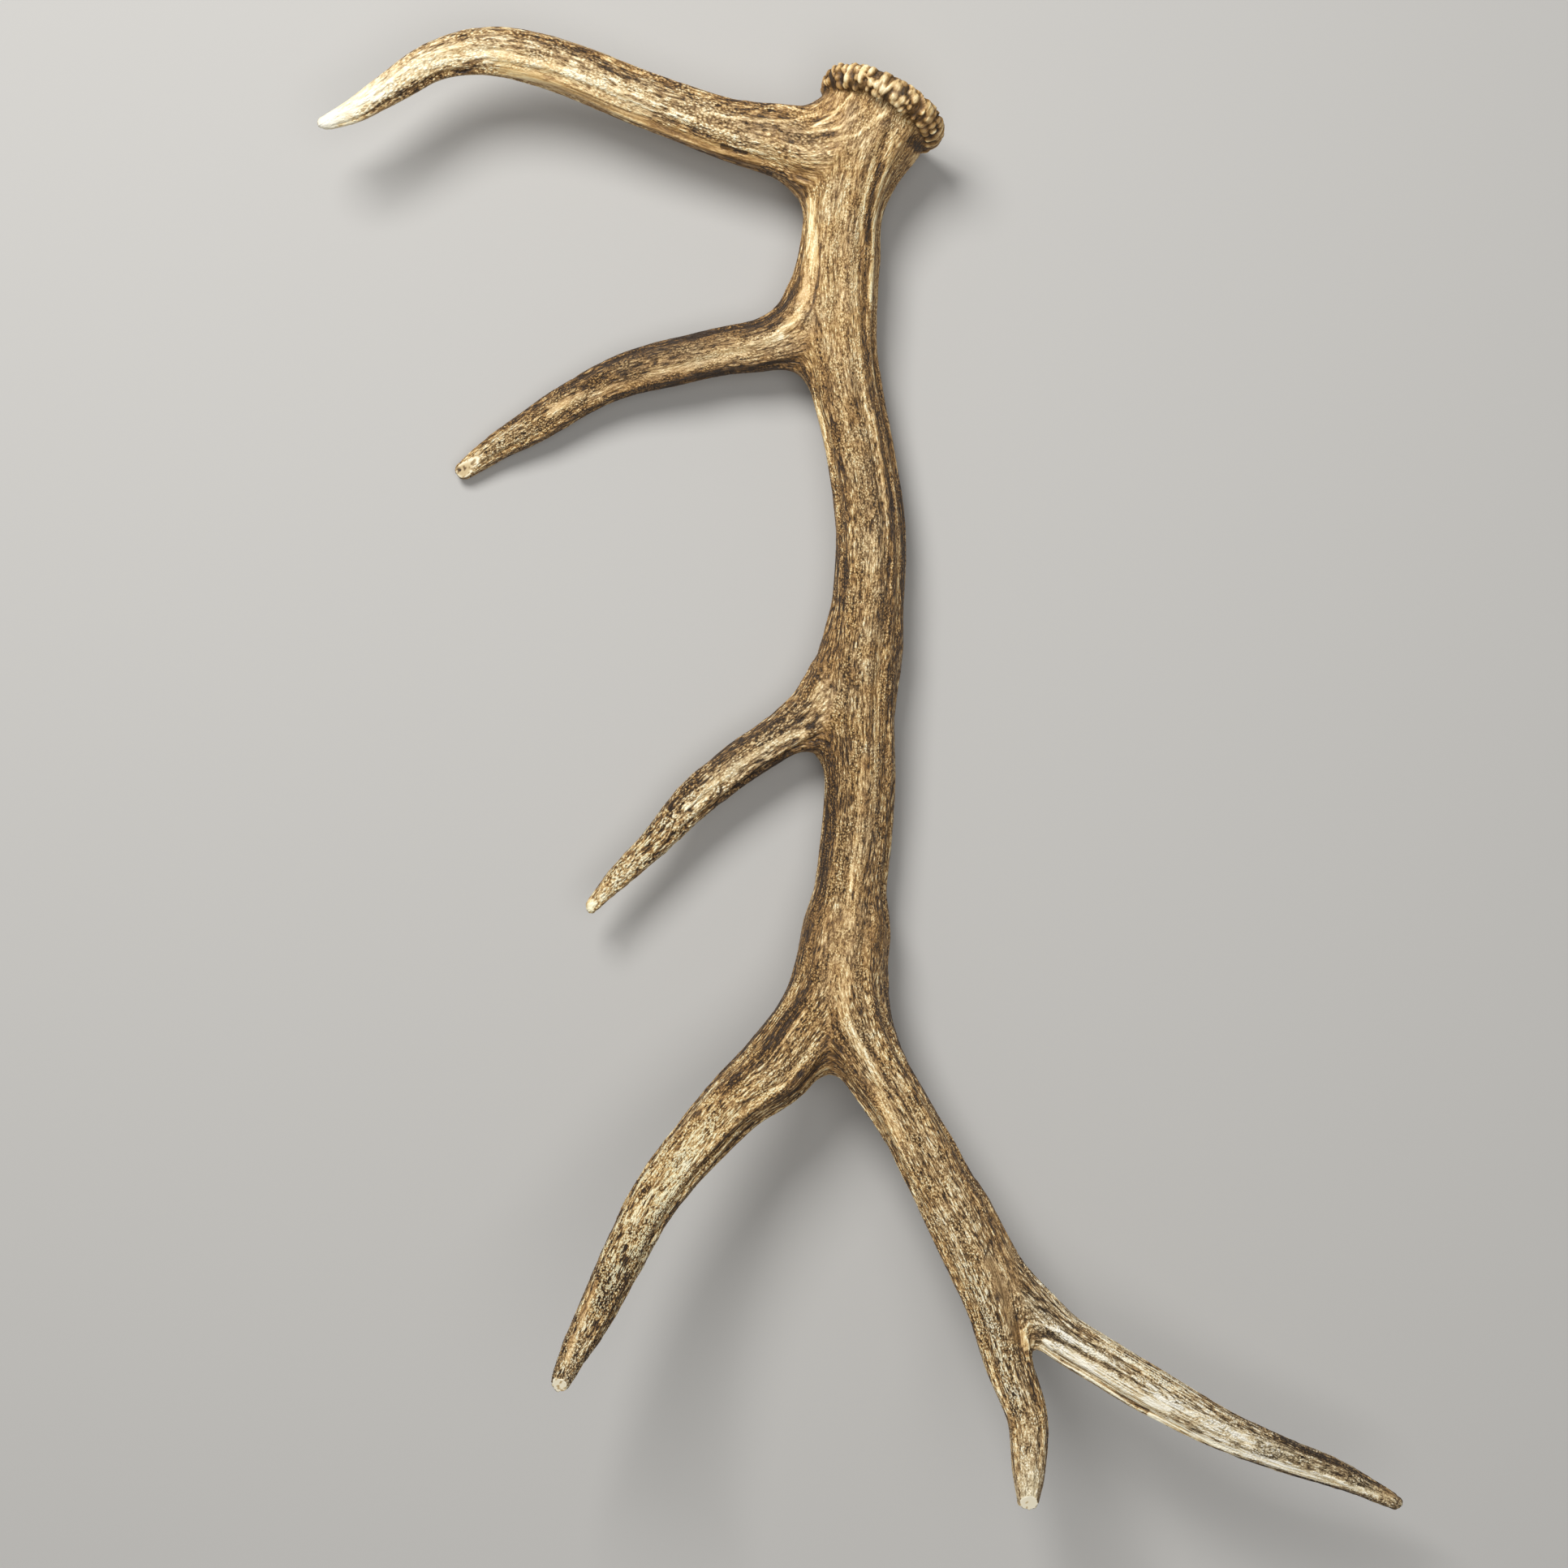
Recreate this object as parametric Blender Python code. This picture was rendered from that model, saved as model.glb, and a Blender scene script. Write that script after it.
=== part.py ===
"""Elk antler with six points, lying on its outer side.

An antler is one piece of grown bone. Its root is the burr, a flange with a ring of beads around a
flat seat. The beam leaves it in a shallow S, and sends off the brow, bez and trez tines on its front
side. At the crown fork it parts into the royal tine and the crown beam, which parts again into the
surroyal tine and the end of the beam. It is modelled as one skin and then cut at those forks.

+Y runs along the beam toward the burr, +Z is up, and the floor is at Z = 0. The antler's hollow
side faces up: the crown rises from the floor, and the tips of the beam and the royal tine rise most.
"""
import bmesh
import bpy
import numpy as np
from mathutils import Matrix, Vector

MM = 0.001  # metres in a millimetre

# Each branch's axis from its root to its tip: x, y, height above the floor and half width, in mm.
BEAM = (
    (25, 510, 47, 37.5), (15.5, 491, 46, 35.6), (2, 462, 43, 32.2), (-8, 425, 38, 29.0),
    (-12.3, 382, 35, 26.6), (-10.8, 338, 33, 26.3), (-5.5, 288, 31.5, 26.6), (5, 238, 30, 25.6),
    (12, 188, 30, 26.2), (12.6, 137, 30, 26.6), (7.6, 87, 30, 27.6), (5, 37, 29, 27.0),
    (5, -13, 27.5, 26.3), (2, -63, 27, 26.3), (-4.2, -113, 32, 26.6), (-8, -163, 45, 29.2),
    (0, -200, 57, 29.5), (14, -227, 65, 25.3), (29.4, -252, 72, 22.8), (59.4, -306, 86, 23.2),
    (86.4, -359, 98, 23.3), (103, -401, 108, 21.8), (114, -447, 119, 17.0), (126, -484, 136, 14.8),
    (125, -515, 160, 11.7), (123, -531, 180, 7.8),
)
BROW_TINE = (
    (15, 492, 46, 31.0), (-6, 478, 44, 30.7), (-31, 472, 45, 30.2), (-57, 477.6, 46, 27.4),
    (-95, 485.6, 47, 23.2), (-133, 498, 49, 21.3), (-170, 511, 52, 20.3), (-206, 525.6, 56, 19.8),
    (-242, 536.7, 60, 19.1), (-278, 541, 64, 17.5), (-315.5, 533.6, 67, 14.8), (-351.5, 512, 69, 12.2),
    (-381, 493.6, 70, 8.8), (-401.5, 485, 70, 5.2),
)
BEZ_TINE = (
    (-8, 384, 34, 13.0), (-22, 356, 33, 19.5), (-45, 332.5, 31, 20.2), (-69, 322.5, 30, 19.6),
    (-100, 317.8, 28, 17.8), (-138, 309.8, 26, 17.6), (-176, 300.2, 22, 16.1), (-214, 283, 18, 14.6),
    (-245, 264, 14, 13.4), (-277, 246.4, 10, 10.6), (-302, 229, 7, 7.2),
)
TREZ_TINE = (
    (8, 92, 28, 13.0), (-8, 66, 28, 18.5), (-28.5, 41.5, 29, 19.0), (-61.5, 16.4, 30, 16.7),
    (-92.6, -4.6, 31, 15.9), (-125.6, -31.6, 32, 14.4), (-153.5, -61.6, 35, 10.8), (-181.5, -88.6, 38, 8.3),
    (-202, -111, 41, 4.6),
)
ROYAL_TINE = (
    (-6, -132, 39, 27.0), (-18, -175, 50, 28.5), (-38, -205, 60, 28.5), (-59, -230, 71, 28.0),
    (-90, -255, 84, 23.4), (-119, -286, 98, 20.2), (-150, -325, 114, 18.4), (-173.3, -366, 131, 15.6),
    (-192, -404, 151, 13.2), (-208.4, -434, 174, 9.2), (-214, -445.4, 188, 6.9),
)
SURROYAL_TINE = (
    (77, -336, 93, 18.0), (99, -377, 100, 21.0), (127, -405, 104, 19.6), (155, -429, 106, 17.6),
    (180, -444.6, 107, 17.4), (222, -469.6, 108, 17.2), (271, -496.6, 107, 14.7), (321, -517.4, 104, 12.3),
    (364.3, -534, 99, 9.9), (405.4, -554.8, 93, 5.5),
)
WEB_LEVEL = 0.75  # how much less a root blends over and under the beam than beside it
AXIS_STEP = 4.0  # mm between the points read from a branch's smooth axis

# branch: stations, thickness over width, and how widely its root blends into the beam, in mm
BRANCHES = {
    "beam": (BEAM, 0.96, 0.0),
    "brow": (BROW_TINE, 0.95, 32.0),
    "bez": (BEZ_TINE, 0.92, 39.0),
    "trez": (TREZ_TINE, 0.92, 33.0),
    "royal": (ROYAL_TINE, 0.90, 25.0),
    "surroyal": (SURROYAL_TINE, 0.85, 14.0),
}

# The burr: a flange round the beam's root. Its axis points out of the seat.
BURR_CENTRE = (22.3, 501.2, 49.0)
BURR_AXIS = (0.44, 0.875, -0.19)
BURR_RING = 41.0  # mm from the axis to the middle of the flange
BURR_WIDE = 7.5  # mm, the flange's half width outward
BURR_LONG = 9.2  # mm, its half length along the axis
BURR_BLEND = 5.0
SEAT_RISE = 7.0  # mm from the flange's middle out to the flat seat
BEAD_COLUMNS = 42
BEAD_HEIGHT = 2.8
BEAD_SEED = 7

# Long ridges down every branch: ridges round it, height in mm, and how they wander along it
RIDGES = ((5, 0.7, 95.0), (9, 0.8, 70.0), (14, 0.5, 52.0))

SKIN_VOXEL = 2.4  # mm
SETTLE_STEPS = 9  # steps that bring the first skin on to the grown form
SKIN_TRIANGLES = 7700
GAP = 0.3  # mm between neighbouring solids
SLAB_ROOM = 1.45  # a cutting slab's half side over the branch's half width

# Cuts at the forks: a point on the cut, the way the branch runs there, and its half width, in mm
FORK_CUTS = {
    "brow": ((-72, 480, 46), (-0.97, 0.22, 0.03), 28),
    "bez": ((-84, 321, 29), (-0.99, -0.13, -0.05), 20),
    "below_bez": ((5, 238, 28), (0.17, -0.98, 0.0), 27),
    "trez": ((-75, 9, 30), (-0.81, -0.58, 0.03), 18),
    "below_trez": ((4, -32, 28), (-0.03, -1.0, 0.02), 28),
    "royal": ((-69, -236, 75), (-0.66, -0.66, 0.34), 27),
    "crown": ((33, -258, 74), (0.46, -0.84, 0.27), 24),
    "surroyal": ((155, -429, 106), (0.83, -0.55, 0.03), 18),
    "beam_tip": ((117, -454, 121), (0.22, -0.86, 0.46), 15),
}
# Worn flats on three tips: a point on the flat and its outward direction
TIP_FLATS = {
    "royal": ((-216, -448, 190), (-0.2, -0.42, 0.88)),
    "beam": ((123, -537, 184), (0.0, -0.42, 0.91)),
    "bez": ((-294, 233, 14.5), (-0.27, -0.21, 0.94)),
}

# Each solid is known by a point on the antler that lies in it
SOLIDS = {
    "lower_beam": (-7, 425, 38),
    "brow_tine": (-242, 537, 60),
    "bez_tine": (-176, 301, 23),
    "middle_beam": (8, 87, 28),
    "trez_tine": (-126, -31, 32),
    "upper_beam": (-2, -113, 35),
    "royal_tine": (-150, -325, 114),
    "crown_beam": (86, -359, 98),
    "surroyal_tine": (271, -497, 107),
    "beam_tip": (126, -501, 148),
}
# Linear colour and roughness: browner on the beam, paler on the long tines
ANTLER_BROWN = ((0.24, 0.155, 0.075), 0.5)
ANTLER_TAN = ((0.36, 0.26, 0.15), 0.45)
TAN_SOLIDS = ("brow_tine", "trez_tine", "royal_tine", "surroyal_tine", "beam_tip")


def unit(vector):
    """The vector, or each row of an array of vectors, at length one."""
    vector = np.asarray(vector, float)
    return vector / np.linalg.norm(vector, axis=-1, keepdims=True)


def smooth_axis(stations):
    """Points read every AXIS_STEP along a cubic curve through the stations.

    Between two stations it is the cubic that meets both, with the slope at each taken from its
    neighbours. A row is x, y, height and half width.
    """
    knots = np.array(stations, float)
    steps = np.linalg.norm(np.diff(knots[:, :3], axis=0), axis=1)
    along = np.concatenate([[0.0], np.cumsum(steps)])
    slope = np.gradient(knots, along, axis=0)
    where = np.linspace(0.0, along[-1], int(along[-1] / AXIS_STEP) + 1)
    i = np.clip(np.searchsorted(along, where, side="right") - 1, 0, len(along) - 2)
    span = (along[i + 1] - along[i])[:, None]
    u = (where - along[i])[:, None] / span
    start = (1 + 2 * u) * (1 - u) ** 2 * knots[i] + u * (1 - u) ** 2 * span * slope[i]
    end = u**2 * (3 - 2 * u) * knots[i + 1] + u**2 * (u - 1) * span * slope[i + 1]
    return where, start + end


class Branch:
    """A tapered tube of oval section round a smooth axis."""

    def __init__(self, stations, flatness):
        self.along, rows = smooth_axis(stations)
        self.centre = rows[:, :3]
        self.half_width = rows[:, 3]
        self.flatness = flatness
        self.ahead = unit(np.gradient(self.centre, self.along, axis=0))
        self.side = unit(np.cross((0.0, 0.0, 1.0), self.ahead))
        self.top = np.cross(self.ahead, self.side)
        self.taper = np.gradient(self.half_width, self.along)

    def measure(self, points):
        """Distance to the tube, its gradient, and the place along and around it, for each point."""
        ahead = points @ self.ahead.T - (self.centre * self.ahead).sum(1)
        side = points @ self.side.T - (self.centre * self.side).sum(1)
        top = (points @ self.top.T - (self.centre * self.top).sum(1)) / self.flatness
        near = (np.sqrt(ahead**2 + side**2 + top**2) - self.half_width).argmin(1)
        row = np.arange(len(points))
        ahead, side, top = ahead[row, near], side[row, near], top[row, near]
        slide = np.clip(ahead, -AXIS_STEP / 2, AXIS_STEP / 2)
        past = ahead - slide
        reach = np.maximum(np.sqrt(past**2 + side**2 + top**2), 1e-6)
        distance = reach - (self.half_width[near] + self.taper[near] * slide)
        slope = (past[:, None] * self.ahead[near] + side[:, None] * self.side[near]
                 + top[:, None] / self.flatness * self.top[near]) / reach[:, None]
        return distance, slope, self.along[near] + slide, np.arctan2(top, side)


def blend(near, far, width):
    """Smooth union of two measures: where they differ by less than width, the join fills out."""
    (a, slope_a), (b, slope_b) = near, far
    share = np.clip(1.0 - np.abs(a - b) / width, 0.0, None)
    distance = np.minimum(a, b) - share**2 * width / 4
    part = np.where(a < b, 1 - share / 2, share / 2)[:, None]
    return distance, part * slope_a + (1 - part) * slope_b


def burr_place(points):
    """Place on the burr: distance from its axis, angle round it, and place along it."""
    axis = unit(BURR_AXIS)
    across = unit(np.cross((0.0, 0.0, 1.0), axis))
    up = np.cross(axis, across)
    offset = points - np.array(BURR_CENTRE)
    along = offset @ axis
    x, y = offset @ across, offset @ up
    radius = np.maximum(np.hypot(x, y), 1e-6)
    outward = (x[:, None] * across + y[:, None] * up) / radius[:, None]
    return radius, np.arctan2(y, x), along, outward, axis


def burr_flange(points):
    """Distance to the flange, an oval ring round the burr's axis, and its gradient."""
    radius, _, along, outward, axis = burr_place(points)
    out, rise = (radius - BURR_RING) / BURR_WIDE, along / BURR_LONG
    reach = np.maximum(np.hypot(out, rise), 1e-6)
    slope = (out / BURR_WIDE)[:, None] * outward + (rise / BURR_LONG)[:, None] * axis
    return (reach - 1.0) * BURR_WIDE, slope / reach[:, None] * BURR_WIDE


def bead_rows():
    """Beads round the burr: angle, place round the flange's section, half width and half length."""
    random = np.random.default_rng(BEAD_SEED)
    beads = []
    pitch = 2 * np.pi / BEAD_COLUMNS
    for column in range(BEAD_COLUMNS):
        angle = (column + random.uniform(-0.18, 0.18)) * pitch
        wide = pitch * (BURR_RING + BURR_WIDE) / 2 * random.uniform(0.92, 1.12)
        if random.random() < 0.45:
            beads.append((angle, random.uniform(-2.5, 0.5), wide, random.uniform(8.0, 10.5)))
            beads.append((angle + pitch * 0.3, 11.5, wide, 4.5))
        else:
            for place in (-8.5, 0.0, 8.5):
                shift = random.uniform(-0.25, 0.25) * pitch
                beads.append((angle + shift, place + random.uniform(-1.2, 1.2), wide, 4.6))
    return beads


def bead_height(points):
    """Height of the beads: each is half an egg on the flange's surface, and the tallest shows."""
    radius, angle, along, _, _ = burr_place(points)
    place = np.arctan2(along / BURR_LONG, (radius - BURR_RING) / BURR_WIDE) * (BURR_WIDE + BURR_LONG) / 2
    on_flange = (np.abs(along) < 2.2 * BURR_LONG) & (radius > BURR_RING - BURR_WIDE)
    height = np.zeros(len(points))
    for bead_angle, bead_place, wide, long in bead_rows():
        turn = (angle - bead_angle + np.pi) % (2 * np.pi) - np.pi
        inside = 1 - (turn * radius / wide) ** 2 - ((place - bead_place) / long) ** 2
        height = np.maximum(height, np.sqrt(np.clip(inside, 0, None)))
    edge = burr_flange(points)[0]
    return BEAD_HEIGHT * height * on_flange * np.clip(1 - edge / 3.0, 0, 1)


def ridge_height(places):
    """Height of the long ridges: waves round each branch, which wander along it.

    Where branches join, each adds its ridges by how near it is.
    """
    total, weight = 0.0, 0.0
    for number, (distance, along, angle) in enumerate(places):
        near = np.exp(-np.clip(distance, 0, None) / 3.0)
        wave = 0.0
        for count, height, drift in RIDGES:
            wander = 1.3 * np.sin(along / drift + 2.0 * number) + 0.6 * np.sin(along / (0.4 * drift) + count)
            wave = wave + height * np.cos(count * angle + wander + count * number)
        total = total + near * wave
        weight = weight + near
    return total / weight


def grown_form(points, branches):
    """Distance to the whole antler, its gradient, and each branch's place for the ridges."""
    form, places = None, []
    for name, (_, _, width) in BRANCHES.items():
        distance, slope, along, angle = branches[name].measure(points)
        places.append((distance, along, angle))
        web = width * (1 - WEB_LEVEL * np.sin(places[0][2]) ** 2)
        form = (distance, slope) if form is None else blend(form, (distance, slope), web)
    form = blend(form, burr_flange(points), BURR_BLEND)
    return form[0], form[1], places


def shape_skin(points, branches):
    """Move the skin's points on to the grown form, then raise its ridges and beads."""
    for _ in range(SETTLE_STEPS):
        distance, slope, _ = grown_form(points, branches)
        step = distance / np.maximum(np.linalg.norm(slope, axis=1), 0.3)
        points = points - np.clip(step, -SKIN_VOXEL, SKIN_VOXEL)[:, None] * unit(slope)
    _, slope, places = grown_form(points, branches)
    beads = bead_height(points)
    seat_side = burr_place(points)[2] > SEAT_RISE - 2
    ridges = np.where(seat_side, 0.0, ridge_height(places)) * np.clip(1 - beads, 0, 1)
    slim = np.min([np.interp(p[1], b.along, b.half_width) + 40 * np.clip(p[0] - 2, 0, 1)
                   for p, b in zip(places, branches.values())], axis=0)
    ridges = ridges * np.clip(slim / 24.0, 0.25, 1.0)
    return points + (ridges + beads)[:, None] * unit(slope)


def evaluated_copy(obj, name):
    """A new mesh of the object as its modifiers leave it."""
    bpy.context.view_layer.update()
    graph = bpy.context.evaluated_depsgraph_get()
    mesh = bpy.data.meshes.new_from_object(obj.evaluated_get(graph))
    mesh.name = name
    return mesh


def add_object(name, mesh):
    """A new object in the scene that shows the mesh."""
    obj = bpy.data.objects.new(name, mesh)
    bpy.context.scene.collection.objects.link(obj)
    return obj


def tube_mesh(name, branch):
    """A plain round tube down the branch's axis, with filled ends."""
    curve = bpy.data.curves.new(name, "CURVE")
    curve.dimensions = "3D"
    curve.bevel_depth = MM
    curve.bevel_resolution = 4
    curve.use_fill_caps = True
    spline = curve.splines.new("POLY")
    spline.points.add(len(branch.centre) - 1)
    for point, centre, half_width in zip(spline.points, branch.centre, branch.half_width):
        point.co = (*(centre * MM), 1.0)
        point.radius = half_width
    obj = add_object(name, curve)
    mesh = evaluated_copy(obj, name)
    bpy.data.objects.remove(obj)
    return mesh


def facing(direction):
    """Rotation that turns +Z to the direction."""
    return Vector(direction).to_track_quat("Z", "Y").to_matrix().to_4x4()


def seed_mesh(branches):
    """The branches' tubes and a disc for the burr in one mesh, still passing through each other."""
    seed = bmesh.new()
    for name, branch in branches.items():
        seed.from_mesh(tube_mesh(name + "_tube", branch))
        bmesh.ops.create_icosphere(seed, subdivisions=2, radius=branch.half_width[-1] * MM,
                                   matrix=Matrix.Translation(Vector(branch.centre[-1]) * MM))
    place = Matrix.Translation(Vector(BURR_CENTRE) * MM) @ facing(BURR_AXIS)
    rim = (BURR_RING + BURR_WIDE) * MM
    bmesh.ops.create_cone(seed, cap_ends=True, segments=32, radius1=rim, radius2=rim,
                          depth=1.6 * BURR_LONG * MM, matrix=place)
    mesh = bpy.data.meshes.new("seed")
    seed.to_mesh(mesh)
    seed.free()
    return mesh


def one_skin(branches):
    """One closed skin over all the branches, shaped, and thinned to a few thousand faces."""
    seed = add_object("seed", seed_mesh(branches))
    remesh = seed.modifiers.new("skin", "REMESH")
    remesh.mode = "VOXEL"
    remesh.voxel_size = SKIN_VOXEL * MM
    skin = add_object("skin", evaluated_copy(seed, "skin"))
    bpy.data.objects.remove(seed)
    points = np.empty(len(skin.data.vertices) * 3)
    skin.data.vertices.foreach_get("co", points)
    shaped = shape_skin(points.reshape(-1, 3) / MM, branches) * MM
    skin.data.vertices.foreach_set("co", shaped.ravel())
    skin.data.update()
    faces = 2 * len(skin.data.polygons)
    thin = skin.modifiers.new("thin", "DECIMATE")
    thin.ratio = SKIN_TRIANGLES / faces
    thinned = add_object("antler", evaluated_copy(skin, "antler"))
    bpy.data.objects.remove(skin)
    return thinned


def box(cutters, centre, direction, size):
    """Add a box to the cutters: its middle, the way its Z side faces, and its sides, in mm."""
    place = Matrix.Translation(Vector(centre) * MM) @ facing(direction)
    scale = Matrix.Diagonal((*(Vector(size) * MM), 1.0))
    bmesh.ops.create_cube(cutters, size=1.0, matrix=place @ scale)


def cutter_object():
    """Thin slabs at the forks, and blocks that trim the seat and the worn tips flat."""
    cutters = bmesh.new()
    for centre, direction, half_width in FORK_CUTS.values():
        side = 2 * SLAB_ROOM * half_width
        box(cutters, centre, direction, (side, side, GAP))
    seat_block = 60.0
    seat = np.array(BURR_CENTRE) + unit(BURR_AXIS) * (SEAT_RISE + seat_block / 2)
    box(cutters, seat, BURR_AXIS, (2.6 * BURR_RING, 2.6 * BURR_RING, seat_block))
    tip_block = 24.0
    for point, direction in TIP_FLATS.values():
        centre = np.array(point) + unit(direction) * tip_block / 2
        box(cutters, centre, direction, (2 * tip_block, 2 * tip_block, tip_block))
    mesh = bpy.data.meshes.new("cutters")
    cutters.to_mesh(mesh)
    cutters.free()
    obj = add_object("cutters", mesh)
    obj.hide_render = True
    obj.display_type = "WIRE"
    return obj


def cut_at_forks(antler):
    """The antler's mesh after the slabs and blocks are taken out of it."""
    cutters = cutter_object()
    cut = antler.modifiers.new("cut", "BOOLEAN")
    cut.operation = "DIFFERENCE"
    cut.solver = "EXACT"
    cut.object = cutters
    mesh = evaluated_copy(antler, "cut_antler")
    bpy.data.objects.remove(antler)
    bpy.data.objects.remove(cutters)
    return mesh


def islands(work):
    """The mesh's separate bodies, each as a list of faces."""
    left = set(work.faces)
    while left:
        body, front = [], [left.pop()]
        while front:
            face = front.pop()
            body.append(face)
            for edge in face.edges:
                for other in edge.link_faces:
                    if other in left:
                        left.remove(other)
                        front.append(other)
        yield body


def antler_material(name, colour, roughness):
    """Bone with a brown stain, worn to a soft sheen."""
    material = bpy.data.materials.new(name)
    material.use_nodes = True
    shader = material.node_tree.nodes["Principled BSDF"]
    shader.inputs["Base Color"].default_value = (*colour, 1.0)
    shader.inputs["Roughness"].default_value = roughness
    shader.inputs["Metallic"].default_value = 0.0
    return material


def solid_name(centre):
    """The name of the solid whose known point lies nearest to a body's middle."""
    return min(SOLIDS, key=lambda name: np.linalg.norm(np.array(SOLIDS[name]) * MM - centre))


def name_solids(mesh):
    """One object for each body of the cut antler, with its own material."""
    work = bmesh.new()
    work.from_mesh(mesh)
    for body in islands(work):
        verts = list({v for face in body for v in face.verts})
        number = {v: i for i, v in enumerate(verts)}
        middle = np.mean([v.co for v in verts], axis=0)
        name = solid_name(middle)
        if name in bpy.data.objects:
            raise ValueError("two bodies lie at " + name)
        solid = bpy.data.meshes.new(name)
        solid.from_pydata([v.co for v in verts], [], [[number[v] for v in f.verts] for f in body])
        colour, roughness = ANTLER_TAN if name in TAN_SOLIDS else ANTLER_BROWN
        solid.materials.append(antler_material(name + "_bone", colour, roughness))
        solid.shade_smooth()
        solid.set_sharp_from_angle(angle=np.radians(45))
        add_object(name, solid)
    work.free()
    if len(bpy.data.objects) != len(SOLIDS):
        raise ValueError("the forks were not all cut")


def stand_on_floor():
    """Shift the antler so that the middle of its box is over the origin and it meets the floor."""
    solids = [bpy.data.objects[name].data for name in SOLIDS]
    corners = np.array([v.co for solid in solids for v in solid.vertices])
    low, high = corners.min(0), corners.max(0)
    shift = Matrix.Translation((-(low[0] + high[0]) / 2, -(low[1] + high[1]) / 2, -low[2]))
    for solid in solids:
        solid.transform(shift)


def main():
    for obj in list(bpy.data.objects):
        bpy.data.objects.remove(obj)
    branches = {name: Branch(stations, flatness) for name, (stations, flatness, _) in BRANCHES.items()}
    antler = one_skin(branches)
    name_solids(cut_at_forks(antler))
    stand_on_floor()


main()
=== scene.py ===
import bpy
import numpy as np
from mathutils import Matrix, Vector


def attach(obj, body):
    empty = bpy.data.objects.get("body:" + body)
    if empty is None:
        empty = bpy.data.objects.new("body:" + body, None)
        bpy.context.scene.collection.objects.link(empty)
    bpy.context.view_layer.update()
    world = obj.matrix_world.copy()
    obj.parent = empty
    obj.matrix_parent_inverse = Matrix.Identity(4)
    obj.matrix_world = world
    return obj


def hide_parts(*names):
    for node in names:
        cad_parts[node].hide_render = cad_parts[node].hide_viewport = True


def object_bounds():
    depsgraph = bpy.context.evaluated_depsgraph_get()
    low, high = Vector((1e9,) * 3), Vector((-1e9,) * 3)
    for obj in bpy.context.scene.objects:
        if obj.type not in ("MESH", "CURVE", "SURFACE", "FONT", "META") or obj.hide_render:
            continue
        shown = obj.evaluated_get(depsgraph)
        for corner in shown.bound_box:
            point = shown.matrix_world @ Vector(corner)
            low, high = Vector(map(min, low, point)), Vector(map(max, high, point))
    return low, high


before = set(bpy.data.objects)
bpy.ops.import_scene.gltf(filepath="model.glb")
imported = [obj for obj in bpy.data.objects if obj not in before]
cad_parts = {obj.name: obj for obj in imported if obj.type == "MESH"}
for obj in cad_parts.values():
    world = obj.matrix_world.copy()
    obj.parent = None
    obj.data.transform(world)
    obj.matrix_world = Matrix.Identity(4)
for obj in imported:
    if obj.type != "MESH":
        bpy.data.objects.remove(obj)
cad_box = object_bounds()

# ---------------------------------------------------------------- how the antler grew
# An elk's antler is one piece of bone, grown in a summer from the root out. The beam leaves the
# skull in a shallow S, and its tines branch off in front of it. All of it is tapered rods of oval
# section that run into each other at the forks.
MM = 0.001

# Each branch from its root to its tip: x, y, height above the floor and half width, in mm.
BEAM = (
    (25, 510, 47, 37.5), (15.5, 491, 46, 35.6), (2, 462, 43, 32.2), (-8, 425, 38, 29.0),
    (-12.3, 382, 35, 26.6), (-10.8, 338, 33, 26.3), (-5.5, 288, 31.5, 26.6), (5, 238, 30, 25.6),
    (12, 188, 30, 26.2), (12.6, 137, 30, 26.6), (7.6, 87, 30, 27.6), (5, 37, 29, 27.0),
    (5, -13, 27.5, 26.3), (2, -63, 27, 26.3), (-4.2, -113, 32, 26.6), (-8, -163, 45, 29.2),
    (0, -200, 57, 29.5), (14, -227, 65, 25.3), (29.4, -252, 72, 22.8), (59.4, -306, 86, 23.2),
    (86.4, -359, 98, 23.3), (103, -401, 108, 21.8), (114, -447, 119, 17.0), (126, -484, 136, 14.8),
    (125, -515, 160, 11.7), (123, -531, 180, 7.8),
)
BROW_TINE = (
    (15, 492, 46, 31.0), (-6, 478, 44, 30.7), (-31, 472, 45, 30.2), (-57, 477.6, 46, 27.4),
    (-95, 485.6, 47, 23.2), (-133, 498, 49, 21.3), (-170, 511, 52, 20.3), (-206, 525.6, 56, 19.8),
    (-242, 536.7, 60, 19.1), (-278, 541, 64, 17.5), (-315.5, 533.6, 67, 14.8),
    (-351.5, 512, 69, 12.2), (-381, 493.6, 70, 8.8), (-401.5, 485, 70, 5.2),
)
BEZ_TINE = (
    (-8, 384, 34, 13.0), (-22, 356, 33, 19.5), (-45, 332.5, 31, 20.2), (-69, 322.5, 30, 19.6),
    (-100, 317.8, 28, 17.8), (-138, 309.8, 26, 17.6), (-176, 300.2, 22, 16.1), (-214, 283, 18, 14.6),
    (-245, 264, 14, 13.4), (-277, 246.4, 10, 10.6), (-302, 229, 7, 7.2),
)
TREZ_TINE = (
    (8, 92, 28, 13.0), (-8, 66, 28, 18.5), (-28.5, 41.5, 29, 19.0), (-61.5, 16.4, 30, 16.7),
    (-92.6, -4.6, 31, 15.9), (-125.6, -31.6, 32, 14.4), (-153.5, -61.6, 35, 10.8),
    (-181.5, -88.6, 38, 8.3), (-202, -111, 41, 4.6),
)
ROYAL_TINE = (
    (-6, -132, 39, 27.0), (-18, -175, 50, 28.5), (-38, -205, 60, 28.5), (-59, -230, 71, 28.0),
    (-90, -255, 84, 23.4), (-119, -286, 98, 20.2), (-150, -325, 114, 18.4), (-173.3, -366, 131, 15.6),
    (-192, -404, 151, 13.2), (-208.4, -434, 174, 9.2), (-214, -445.4, 188, 6.9),
)
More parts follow.
